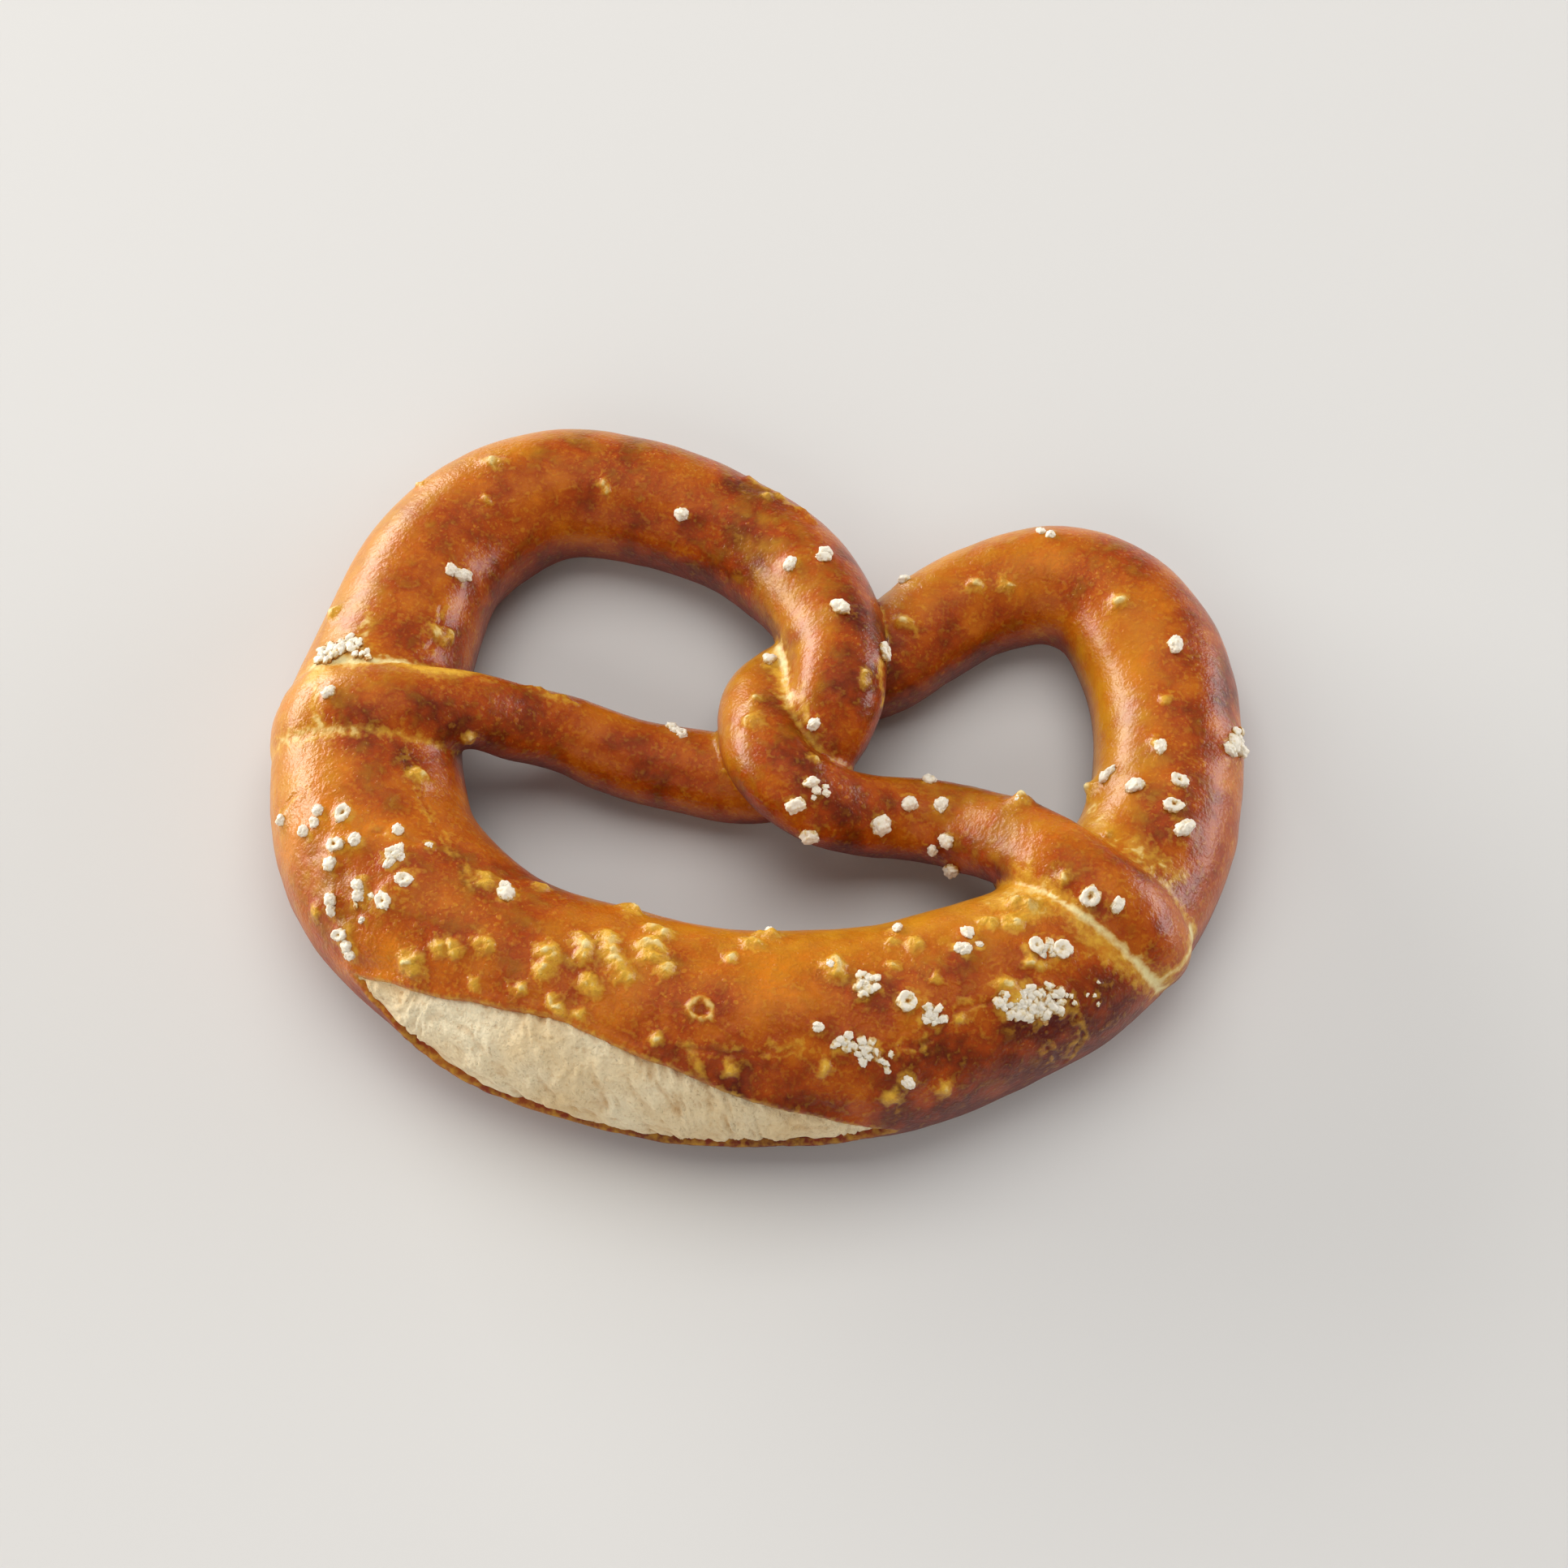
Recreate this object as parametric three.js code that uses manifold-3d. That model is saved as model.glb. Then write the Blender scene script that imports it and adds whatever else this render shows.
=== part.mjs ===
// A soft pretzel: one rope of dough, thick at the belly and thin at its two
// ends. The ends cross twice above the middle, and each one lies on a shoulder
// of the belly. Its crust has burst open along the front, and coarse salt is
// baked onto it.
//
// Millimetres, +Z up, +X to the right with the belly in front at -Y. The
// origin is on the tray, under the middle of the pretzel.

import * as THREE from 'three';
import { ParametricGeometry } from 'three/addons/geometries/ParametricGeometry.js';
import { mergeVertices } from 'three/addons/utils/BufferGeometryUtils.js';
import Module from 'manifold-3d';

const wasm = await Module();
wasm.setup();

// ---------------------------------------------------------------- dimensions

// The rope's middle line and thickness at each stop: x, y, height, thickness.
const LEFT_ARM = [
  [-73, -13, 11.4, 23],
  [-72, -13, 14.5, 25],
  [-68.8, -12.4, 17.6, 25.2],
  [-60.6, -9.1, 20.8, 19],
  [-50.2, -4, 19.3, 13.8],
  [-42.2, -1.4, 14.5, 13.4],
  [-33.7, 0.7, 10.8, 13.6],
  [-21.7, 0.7, 8, 15],
  [-9.7, 1.7, 7.2, 15.6],
];
const LEFT_STRAND_OF_TWIST = [
  [-1.7, 2.5, 7.8, 15.4],
  [4.8, 4.7, 9.8, 15.4],
  [9.3, 9.8, 15, 15.6],
  [10.5, 16.8, 19, 16.4],
  [7.8, 26.3, 17.8, 17.6],
];
const LEFT_LOOP = [
  [2.3, 35.8, 14.5, 19.8],
  [-6.7, 44.8, 11.2, 21.6],
  [-19.7, 50.6, 9.5, 22.2],
  [-35.2, 52.8, 9.4, 23.6],
  [-51.2, 49.8, 9.7, 24.6],
  [-62.7, 40.3, 10, 26],
  [-68.2, 27.3, 10.4, 26.6],
  [-69.2, 12.3, 11, 28],
  [-68, -2.7, 12, 30.8],
];
const BELLY = [
  [-64.5, -18.8, 12.8, 33.2],
  [-57.7, -31.7, 13.1, 34.6],
  [-46.5, -41.2, 13.3, 35.2],
  [-32.5, -47.5, 13.5, 35.6],
  [-18.2, -50.1, 13.6, 36],
  [-3.7, -50.1, 13.7, 36.6],
  [10.8, -47.9, 13.7, 36.6],
  [25.3, -43.4, 13.6, 35.8],
  [38.8, -36.5, 13.4, 34.6],
  [49.3, -28.7, 13.2, 33.4],
  [58.3, -19.7, 12.8, 32],
];
const RIGHT_LOOP = [
  [65.8, -8.2, 12, 29.4],
  [69.6, 5.3, 11.3, 27.6],
  [69.8, 19.3, 10.7, 26.8],
  [66.6, 33.3, 10.5, 26.2],
  [60.8, 45.8, 10.1, 26.2],
  [51.3, 54.8, 9.7, 24.4],
  [39.3, 56.1, 9.2, 22],
  [28.3, 49.9, 8.8, 20.4],
  [20.3, 40.1, 8.2, 20],
];
const RIGHT_STRAND_OF_TWIST = [
  [14.3, 32.3, 7.6, 19.2],
  [7.8, 26.8, 7.6, 17.4],
  [0.5, 22.8, 9.3, 15.8],
  [-2.2, 15, 13, 15],
  [0.1, 5.8, 17, 15],
  [5.3, -0.7, 19, 14.8],
];
const RIGHT_ARM = [
  [12.8, -2.9, 17, 14.6],
  [20.3, -1.1, 13.4, 14.6],
  [28.3, 1.5, 11, 14.8],
  [37.3, 1.5, 12.6, 15.2],
  [46.8, -1.3, 17.2, 15.4],
  [55.8, -5.8, 21.8, 15.6],
  [63.6, -9.9, 22, 17],
  [69.6, -12.2, 19.4, 17.6],
  [73, -13.1, 16.4, 15.6],
  [74.2, -13.2, 14, 12.6],
];
const STOPS = [
  ...LEFT_ARM, ...LEFT_STRAND_OF_TWIST, ...LEFT_LOOP, ...BELLY,
  ...RIGHT_LOOP, ...RIGHT_STRAND_OF_TWIST, ...RIGHT_ARM,
];
const LAST_STOP = STOPS.length - 1;
const LEFT_LOOP_TOP = LEFT_ARM.length + LEFT_STRAND_OF_TWIST.length + 3;
const RIGHT_LOOP_TOP = STOPS.length - RIGHT_ARM.length - RIGHT_STRAND_OF_TWIST.length - 3;

const SIDES = 20;
const RINGS_PER_STOP = 3;
const FLATNESS = 0.92;
const UNEVENNESS = 0.012;
const TRAY_SIZE = 400;
const TRAY_DEPTH = 20;

// The burst in the crust: its widest stop, its reach to either side in stops,
// and in degrees round the rope its middle and how far the lips open from it.
const BURST = { widest: 27.3, left: 2.1, right: 3.2, middle: 20, opening: 40 };
const CRUMB_DEPTH = 0.07;
const CRUMB_SWELL = 0.045;
const BURST_ROOF = 1.15;
const BURST_RINGS = 18;
const BURST_ROWS = 6;

// Where the salt fell: stop, degrees round the rope, grains, spread.
const SALT_ON_LEFT_ARM = [
  [2.3, 94, 1, 0],
  [3.9, 19, 1, 0],
  [5.4, 105, 1, 0],
  [7.45, 123, 2, 2],
];
const SALT_ON_LEFT_LOOP = [
  [11.4, 97, 1, 0],
  [12.4, 44, 2, 4],
  [13.3, 77, 1, 0],
  [14.35, 88, 2, 4],
  [14.6, 28, 2, 3],
  [15.6, 58, 1, 0],
  [16.4, 121, 1, 0],
  [17.5, 115, 1, 0],
  [18.65, 60, 2, 4],
  [19.4, 42, 1, 0],
  [20.45, 128, 2, 2],
  [21.35, 136, 1, 0],
  [21.7, 60, 3, 5],
];
const SALT_ON_BELLY = [
  [23.6, 29, 2, 5],
  [23.7, 127, 1, 0],
  [24.15, 66, 6, 6],
  [24.7, 92, 3, 4],
  [24.75, 40, 4, 6],
  [25, 68, 3, 4],
  [25.7, 56, 1, 0],
  [26.1, 118, 3, 4],
  [26.1, 76, 2, 4],
  [27, 74, 3, 6],
  [27.5, 103, 5, 7],
  [27.6, 141, 1, 0],
  [28.7, 84, 1, 0],
  [29.6, 130, 3, 8],
  [30.25, 92, 3, 4],
  [30.3, 57, 5, 7],
  [30.95, 73, 2, 4],
  [31, 122, 2, 3],
  [31.75, 103, 2, 3],
  [32.3, 54, 7, 7],
  [32.65, 97, 5, 7],
];
const SALT_ON_RIGHT_LOOP = [
  [35.1, 72, 2, 3],
  [35.6, 88, 3, 4],
  [35.8, 140, 2, 5],
  [36.1, 101, 1, 0],
  [36.45, 42, 3, 4],
  [36.9, 101, 1, 0],
  [37.6, 84, 1, 0],
  [38.5, 107, 1, 0],
  [40, 59, 3, 4],
  [41, 104, 2, 3],
  [42.2, 52, 1, 0],
  [42.4, 88, 1, 0],
];
const SALT_ON_RIGHT_ARM = [
  [45.6, 70, 1, 0],
  [48.7, 84, 2, 3],
  [48.65, 45, 1, 0],
  [49, 11, 1, 0],
  [50.1, 52, 1, 0],
  [51, 88, 1, 0],
  [51.8, 90, 1, 0],
  [52.1, 24, 3, 4],
  [53.4, 96, 2, 6],
  [54.45, 56, 1, 0],
  [55.1, 67, 2, 3],
];
const SALT = [
  ...SALT_ON_LEFT_ARM, ...SALT_ON_LEFT_LOOP, ...SALT_ON_BELLY,
  ...SALT_ON_RIGHT_LOOP, ...SALT_ON_RIGHT_ARM,
];
const GRAIN_SIZE = 3.4;
const GRAIN_UNEVENNESS = 0.28;
const GRAIN_HEIGHT = 0.75;
const GRAIN_SUNK = 0.1;
const SALT_SEED = 11;

// ------------------------------------------------------------------- shaping

const UP = new THREE.Vector3(0, 0, 1);
const GOLDEN_ANGLE = Math.PI * (3 - Math.sqrt(5));

const middleLine = new THREE.CatmullRomCurve3(
  STOPS.map(([x, y, height]) => new THREE.Vector3(x, y, height)), false, 'catmullrom', 0.5);
const thicknessLine = new THREE.CatmullRomCurve3(
  STOPS.map((stop) => new THREE.Vector3(stop[3], 0, 0)), false, 'catmullrom', 0.5);

// The middle, half thickness and directions of the rope at a stop, which may be
// a fraction. Outward is away from the middle of the pretzel on the loops and
// the belly, and towards the belly on the arms.
function sectionAt(stop) {
  const along = THREE.MathUtils.clamp(stop / LAST_STOP, 0, 1);
  const forward = middleLine.getTangent(along);
  const outward = forward.clone().cross(UP).normalize();
  const upward = outward.clone().cross(forward).normalize();
  const half = thicknessLine.getPoint(along).x / 2;
  return { middle: middleLine.getPoint(along), outward, upward, half };
}

// Hand-rolled dough is never quite round: slow waves along and round the rope.
function unevenness(stop, turn) {
  const waves = Math.sin(1.7 * stop + 2 * turn) + Math.sin(2.9 * stop - turn);
  return 1 + UNEVENNESS * waves;
}

// A point of the rope: turn is the angle round it, 0 outward and a quarter turn
// up, and scale is 1 on the skin and 0 in the middle.
function ropePoint(stop, turn, scale = 1) {
  const { middle, outward, upward, half } = sectionAt(stop);
  const reach = scale * half * unevenness(stop, turn);
  return middle
    .addScaledVector(outward, reach * Math.cos(turn))
    .addScaledVector(upward, reach * FLATNESS * Math.sin(turn));
}

// A solid from a closed geometry: its shared corners are merged, and triangles
// flattened at a pole are left out.
function solidOf(geometry) {
  geometry.deleteAttribute('normal');
  geometry.deleteAttribute('uv');
  const merged = mergeVertices(geometry, 1e-4);
  const corners = merged.index.array;
  const triangles = [];
  for (let i = 0; i < corners.length; i += 3) {
    const [a, b, c] = corners.subarray(i, i + 3);
    if (a !== b && b !== c && c !== a) triangles.push(a, b, c);
  }
  return new wasm.Manifold(new wasm.Mesh({
    numProp: 3,
    vertProperties: new Float32Array(merged.attributes.position.array),
    triVerts: new Uint32Array(triangles),
  }));
}

// One length of the rope between two stops, with a flat face at either end.
function ropeLength(firstStop, lastStop) {
  const rings = (lastStop - firstStop) * RINGS_PER_STOP;
  const rows = rings + 2;
  const skin = (around, along, target) => {
    const row = Math.round(along * rows);
    const ring = THREE.MathUtils.clamp(row - 1, 0, rings);
    const scale = row === 0 || row === rows ? 0 : 1;
    const turn = -(Math.round(around * SIDES) % SIDES) * 2 * Math.PI / SIDES;
    target.copy(ropePoint(firstStop + ring / RINGS_PER_STOP, turn, scale));
  };
  return solidOf(new ParametricGeometry(skin, SIDES, rows));
}

// What the burst takes off the crust: a long lens with a lip above and below.
// Its floor is the crumb, which swells in the middle, and its roof is outside
// the rope.
function burst() {
  const lens = (around, along, target) => {
    const reach = 2 * along - 1;
    const stop = BURST.widest + reach * (reach < 0 ? BURST.left : BURST.right);
    const middle = BURST.middle * (1 - Math.max(reach, 0));
    const row = Math.round(around * 2 * BURST_ROWS) % (2 * BURST_ROWS);
    const onFloor = row <= BURST_ROWS;
    const across = onFloor ? 2 * row / BURST_ROWS - 1 : 3 - 2 * row / BURST_ROWS;
    const turn = THREE.MathUtils.degToRad(middle + across * BURST.opening * (1 - reach ** 2));
    const floor = 1 - CRUMB_DEPTH + CRUMB_SWELL * (1 - across ** 2);
    target.copy(ropePoint(stop, turn, onFloor ? floor : BURST_ROOF));
  };
  return solidOf(new ParametricGeometry(lens, 2 * BURST_ROWS, BURST_RINGS));
}

// Even draws between -1 and 1, the same ones in every run.
function seededDraws(seed) {
  let state = seed;
  return () => {
    state = (Math.imul(1664525, state) + 1013904223) >>> 0;
    return state / 2 ** 31 - 1;
  };
}

// One patch of salt: its grains lie on a spiral round the middle of the patch,
// half sunk in the crust, each with its own size and lie. The first one has the
// most faces, and the others are plainer.
function saltPatch([stop, degrees, grains, spread], draw) {
  const { middle, half } = sectionAt(stop);
  const stopLength = 2 * middle.distanceTo(sectionAt(stop + 0.5).middle);
  return Array.from({ length: grains }, (_, i) => {
    const away = spread * Math.sqrt(i / grains);
    const grainStop = stop + away * Math.cos(i * GOLDEN_ANGLE) / stopLength;
    const turn = THREE.MathUtils.degToRad(degrees) + away * Math.sin(i * GOLDEN_ANGLE) / half;
    const size = GRAIN_SIZE * (1 + GRAIN_UNEVENNESS * draw());
    const place = ropePoint(grainStop, turn, 1 - GRAIN_SUNK * size / half);
    const Crystal = i === 0 ? THREE.IcosahedronGeometry : THREE.OctahedronGeometry;
    const shape = new Crystal(size / 2)
      .rotateX(Math.PI * draw())
      .rotateY(Math.PI * draw())
      .scale(1, 1 + GRAIN_UNEVENNESS * draw(), GRAIN_HEIGHT);
    return solidOf(shape.translate(place.x, place.y, place.z));
  });
}

function tray() {
  const box = new THREE.BoxGeometry(TRAY_SIZE, TRAY_SIZE, TRAY_DEPTH);
  return solidOf(box.translate(0, 0, -TRAY_DEPTH / 2));
}

// ------------------------------------------------------------------ assembly

const draw = seededDraws(SALT_SEED);
const grains = SALT.flatMap((patch) => saltPatch(patch, draw));
const dough = ropeLength(LEFT_LOOP_TOP, RIGHT_LOOP_TOP)
  .subtract(burst())
  .add(ropeLength(0, LEFT_LOOP_TOP))
  .add(ropeLength(RIGHT_LOOP_TOP, LAST_STOP));
const baked = grains.reduce((solid, grain) => solid.add(grain), dough).subtract(tray());

const { vertProperties, triVerts } = baked.getMesh();
const geometry = new THREE.BufferGeometry();
geometry.setAttribute('position', new THREE.BufferAttribute(vertProperties, 3));
geometry.setIndex(new THREE.BufferAttribute(triVerts, 1));

const crust = new THREE.MeshStandardMaterial({ color: 0xb5651d, roughness: 0.42, metalness: 0 });
const pretzel = new THREE.Mesh(geometry, crust);
pretzel.name = 'pretzel';

const part = new THREE.Group();
part.add(pretzel);

export default part;
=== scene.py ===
# %% [markdown]
# # A baked soft pretzel
#
# A soft pretzel is one rope of dough, thick at the belly and thin at its two
# ends. It is looped, twisted twice and laid back on its own shoulders. In the
# oven it gets a glossy orange-brown crust, a burst where the crust gave way to
# the rising crumb, and a coat of coarse salt.
#
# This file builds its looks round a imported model, which sets every size and
# place. All lengths below are metres unless a name says otherwise. +X is to the
# right, the belly is in front at -Y, and the tray is at height 0.

import math
import time

import bmesh
import bpy
import numpy as np
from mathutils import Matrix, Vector


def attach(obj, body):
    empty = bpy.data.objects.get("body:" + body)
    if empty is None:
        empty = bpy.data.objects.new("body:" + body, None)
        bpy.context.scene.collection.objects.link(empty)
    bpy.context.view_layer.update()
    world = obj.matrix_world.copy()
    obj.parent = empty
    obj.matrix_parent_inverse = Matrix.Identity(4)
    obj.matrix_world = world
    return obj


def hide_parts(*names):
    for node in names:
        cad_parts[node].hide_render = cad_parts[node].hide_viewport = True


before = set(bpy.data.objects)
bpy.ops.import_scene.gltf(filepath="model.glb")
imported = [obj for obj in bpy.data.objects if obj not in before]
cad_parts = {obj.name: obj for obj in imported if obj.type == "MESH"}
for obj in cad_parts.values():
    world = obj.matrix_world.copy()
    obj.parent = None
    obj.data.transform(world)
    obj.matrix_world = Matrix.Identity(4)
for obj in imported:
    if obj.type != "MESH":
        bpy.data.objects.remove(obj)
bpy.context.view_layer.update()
started = time.time()
print("nodes of the packed model:", sorted(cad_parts))

# %% [markdown]
# ## The rope
#
# Everything on a pretzel follows its rope, so the rope comes first. It is a
# line through a few stops, and each stop has a place and a thickness. Blender's
# curve objects could carry a round section along such a line, but plain arrays
# also give the directions across the rope, and those are needed to place the
# salt, the seams and the burst later.

# %% The stops
MM = 0.001

# x, y, height and thickness in millimetres.
LEFT_ARM = [
    (-73, -13, 11.4, 23), (-72, -13, 14.5, 25), (-68.8, -12.4, 17.6, 25.2),
    (-60.6, -9.1, 20.8, 19), (-50.2, -4, 19.3, 13.8), (-42.2, -1.4, 14.5, 13.4),
    (-33.7, 0.7, 10.8, 13.6), (-21.7, 0.7, 8, 15), (-9.7, 1.7, 7.2, 15.6),
]
LEFT_STRAND_OF_TWIST = [
    (-1.7, 2.5, 7.8, 15.4), (4.8, 4.7, 9.8, 15.4), (9.3, 9.8, 15, 15.6),
    (10.5, 16.8, 19, 16.4), (7.8, 26.3, 17.8, 17.6),
]
LEFT_LOOP = [
    (2.3, 35.8, 14.5, 19.8), (-6.7, 44.8, 11.2, 21.6), (-19.7, 50.6, 9.5, 22.2),
    (-35.2, 52.8, 9.4, 23.6), (-51.2, 49.8, 9.7, 24.6), (-62.7, 40.3, 10, 26),
    (-68.2, 27.3, 10.4, 26.6), (-69.2, 12.3, 11, 28), (-68, -2.7, 12, 30.8),
]
BELLY = [
    (-64.5, -18.8, 12.8, 33.2), (-57.7, -31.7, 13.1, 34.6), (-46.5, -41.2, 13.3, 35.2),
    (-32.5, -47.5, 13.5, 35.6), (-18.2, -50.1, 13.6, 36), (-3.7, -50.1, 13.7, 36.6),
    (10.8, -47.9, 13.7, 36.6), (25.3, -43.4, 13.6, 35.8), (38.8, -36.5, 13.4, 34.6),
    (49.3, -28.7, 13.2, 33.4), (58.3, -19.7, 12.8, 32),
]
RIGHT_LOOP = [
    (65.8, -8.2, 12, 29.4), (69.6, 5.3, 11.3, 27.6), (69.8, 19.3, 10.7, 26.8),
    (66.6, 33.3, 10.5, 26.2), (60.8, 45.8, 10.1, 26.2), (51.3, 54.8, 9.7, 24.4),
    (39.3, 56.1, 9.2, 22), (28.3, 49.9, 8.8, 20.4), (20.3, 40.1, 8.2, 20),
]
RIGHT_STRAND_OF_TWIST = [
    (14.3, 32.3, 7.6, 19.2), (7.8, 26.8, 7.6, 17.4), (0.5, 22.8, 9.3, 15.8),
    (-2.2, 15, 13, 15), (0.1, 5.8, 17, 15), (5.3, -0.7, 19, 14.8),
]
RIGHT_ARM = [
    (12.8, -2.9, 17, 14.6), (20.3, -1.1, 13.4, 14.6), (28.3, 1.5, 11, 14.8),
    (37.3, 1.5, 12.6, 15.2), (46.8, -1.3, 17.2, 15.4), (55.8, -5.8, 21.8, 15.6),
    (63.6, -9.9, 22, 17), (69.6, -12.2, 19.4, 17.6), (73, -13.1, 16.4, 15.6),
    (74.2, -13.2, 14, 12.6),
]
STOPS = MM * np.array(
    LEFT_ARM + LEFT_STRAND_OF_TWIST + LEFT_LOOP + BELLY
    + RIGHT_LOOP + RIGHT_STRAND_OF_TWIST + RIGHT_ARM
)
LAST_STOP = len(STOPS) - 1
print(f"the rope has {LAST_STOP + 1} stops")

# %% A smooth line through the stops
FLATNESS = 0.92
UNEVENNESS = 0.012
UP = np.array([0.0, 0.0, 1.0])


def unit(vectors):
    """Each vector over its own length."""
    return vectors / np.linalg.norm(vectors, axis=-1, keepdims=True)


def smooth_step(t):
    """3t^2 - 2t^3 between 0 and 1, level outside them."""
    t = np.clip(t, 0, 1)
    return t * t * (3 - 2 * t)


def along_stops(stop):
    """Catmull-Rom cubics: the slope at a stop is half the step between its neighbours."""
    ends = 2 * STOPS[[0, -1]] - STOPS[[1, -2]]
    rows = np.vstack([ends[:1], STOPS, ends[1:]])
    first = np.clip(np.floor(stop).astype(int), 0, LAST_STOP - 1)
    t = (stop - first)[..., None]
    a, b, c, d = (rows[first + i] for i in range(4))
    return b + t / 2 * (c - a + t * (2 * a - 5 * b + 4 * c - d + t * (3 * (b - c) + d - a)))


def section_at(stop):
    """Middle, outward, upward and forward directions, half thickness, and length of one stop."""
    stop = np.clip(np.asarray(stop, float), 0, LAST_STOP)
    step = 0.01
    ahead = along_stops(np.minimum(stop + step, LAST_STOP))
    behind = along_stops(np.maximum(stop - step, 0))
    slope = (ahead - behind)[..., :3]
    forward = unit(slope)
    outward = unit(np.cross(forward, UP))
    upward = np.cross(outward, forward)
    here = along_stops(stop)
    stop_length = np.linalg.norm(slope, axis=-1) / (2 * step)
    return here[..., :3], outward, upward, forward, here[..., 3] / 2, stop_length


def unevenness(stop, turn):
    """Slow waves along and round the rope, because hand-rolled dough is never quite round."""
    return 1 + UNEVENNESS * (np.sin(1.7 * stop + 2 * turn) + np.sin(2.9 * stop - turn))


def rope_point(stop, degrees, scale=1.0):
    """A point on the rope: middle + scale * half * (outward * cos + upward * flatness * sin) of its turn."""
    middle, outward, upward, _, half, _ = section_at(stop)
    turn = np.radians(degrees)
    reach = (scale * half * unevenness(stop, turn))[..., None]
    across, up = np.cos(turn)[..., None], FLATNESS * np.sin(turn)[..., None]
    return middle + reach * (outward * across + upward * up)


print(f"it is {1000 * section_at(np.arange(LAST_STOP) + 0.5)[5].sum():.0f} mm long")

# %% [markdown]
# ## Noise made of arrays
#
# Dough, crust and salt are uneven at every scale. Blender has a Displace
# modifier with noise textures, but it moves a mesh by one noise only. Here the
# noise is a function of arrays, so the same one can lift the skin, fray the
# edge of the burst and shape a grain of salt.

# %% Noise and bumps
def cell_draws(cells, seed):
    """A fixed draw between -1 and 1 for each whole-number cell: its numbers are mixed as 32-bit integers."""
    x, y, z = (cells[..., i].astype(np.int64).astype(np.uint32) for i in range(3))
    mixed = x * np.uint32(73856093) ^ y * np.uint32(19349663) ^ z * np.uint32(83492791)
    mixed ^= np.uint32(seed * 40503 + 7)
    for shift, factor in ((15, 2246822519), (13, 3266489917)):
        mixed = (mixed ^ (mixed >> np.uint32(shift))) * np.uint32(factor)
    return (mixed ^ (mixed >> np.uint32(16))).astype(float) / 2**31 - 1


def soft_noise(points, size, seed):
    """The draws at the eight corners of a cell, blended by 3t^2 - 2t^3. Size is the cell's side."""
    cell = np.floor(points / size)
    share = smooth_step(points / size - cell)
    total = np.zeros(points.shape[:-1])
    for corner in np.ndindex(2, 2, 2):
        weight = np.prod(np.where(corner, share, 1 - share), axis=-1)
        total += weight * cell_draws(cell + corner, seed)
    return total


def domes(points, spacing, radius, seed):
    """Round bumps 1 - (distance / radius)^2, one at a drawn place in each cell, each with its own radius."""
    cell = np.floor(points / spacing)
    highest = np.zeros(points.shape[:-1])
    for neighbour in np.ndindex(3, 3, 3):
        home = cell + neighbour - 1
        place = np.stack([home[..., i] + 0.5 + 0.4 * cell_draws(home, seed + i) for i in range(3)], axis=-1)
        away = np.linalg.norm(points - spacing * place, axis=-1)
        own = radius * (0.7 + 0.3 * cell_draws(home, seed + 3))
        highest = np.maximum(highest, 1 - (away / own) ** 2)
    return highest


def frayed(points, size, seed):
    """Points pushed about by noise, so that a mark measured from them wanders."""
    push = np.stack([soft_noise(points, 3 * size, seed + i) for i in range(3)], axis=-1)
    return points + size * push


def bell(away, width=1.0):
    """exp(-(away / width)^2), which is 1 at 0 and nearly gone two widths away."""
    return np.exp(-((away / width) ** 2))


print("noise ready")

# %% [markdown]
# ## Fusing the strands
#
# Where strands cross, the dough has grown together. Adding overlapping tubes
# would leave hard lines there, and faces hidden inside. So the rope is made one
# closed tube that passes through itself, and a voxel remesh turns it into one
# skin of even squares. Then each point of the skin is settled on a blend of its
# two nearest strands, which gives the seams a soft round hollow.

# %% One closed tube
RINGS_PER_STOP = 12
SIDES = 64
CAP_RINGS = 8


def rope_tube():
    """The rope's skin on a grid of rings and sides. Past either end, rings shrink along a half ball."""
    lean = np.linspace(90, 0, CAP_RINGS, endpoint=False)
    stops = np.linspace(0, LAST_STOP, LAST_STOP * RINGS_PER_STOP + 1)
    ring_stops = np.concatenate([np.zeros(CAP_RINGS), stops, np.full(CAP_RINGS, LAST_STOP)])
    leans = np.radians(np.concatenate([-lean, np.zeros(len(stops)), lean[::-1]]))
    _, _, _, forward, half, _ = section_at(ring_stops)
    past_end = (forward * (half * np.sin(leans))[:, None])[:, None]
    degrees = np.arange(SIDES) * 360 / SIDES
    shrink = np.maximum(np.cos(leans), 0.01)[:, None]
    return rope_point(ring_stops[:, None], degrees[None, :], shrink) + past_end


def closed_grid_faces(rows, columns):
    """Squares between neighbouring rings, and one many-sided face at either end."""
    row, column = np.meshgrid(np.arange(rows - 1), np.arange(columns), indexing="ij")
    after = (column + 1) % columns
    squares = np.stack([
        row * columns + column, (row + 1) * columns + column,
        (row + 1) * columns + after, row * columns + after,
    ], axis=-1).reshape(-1, 4)
    last = (rows - 1) * columns
    ends = [list(range(columns)), list(range(last + columns - 1, last - 1, -1))]
    return squares.tolist() + ends


def mesh_of(name, points, faces):
    """A Blender mesh from an array of points and a list of faces."""
    mesh = bpy.data.meshes.new(name)
    mesh.from_pydata(points.reshape(-1, 3), [], faces)
    mesh.update()
    return mesh


def points_of(mesh):
    """The mesh's points as an array."""
    flat = np.empty(3 * len(mesh.vertices), np.float32)
    mesh.vertices.foreach_get("co", flat)
    return flat.reshape(-1, 3).astype(float)


tube_points = rope_tube()
tube = mesh_of("rope", tube_points, closed_grid_faces(*tube_points.shape[:2]))
print(f"the tube has {len(tube.polygons)} faces")

# %% One skin by voxel remesh
SKIN_SQUARE = 1.1 * MM


def in_scene(name, data):
    """A new object in the scene, for a mesh, a light or a camera."""
    thing = bpy.data.objects.new(name, data)
    bpy.context.scene.collection.objects.link(thing)
    return thing


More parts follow.
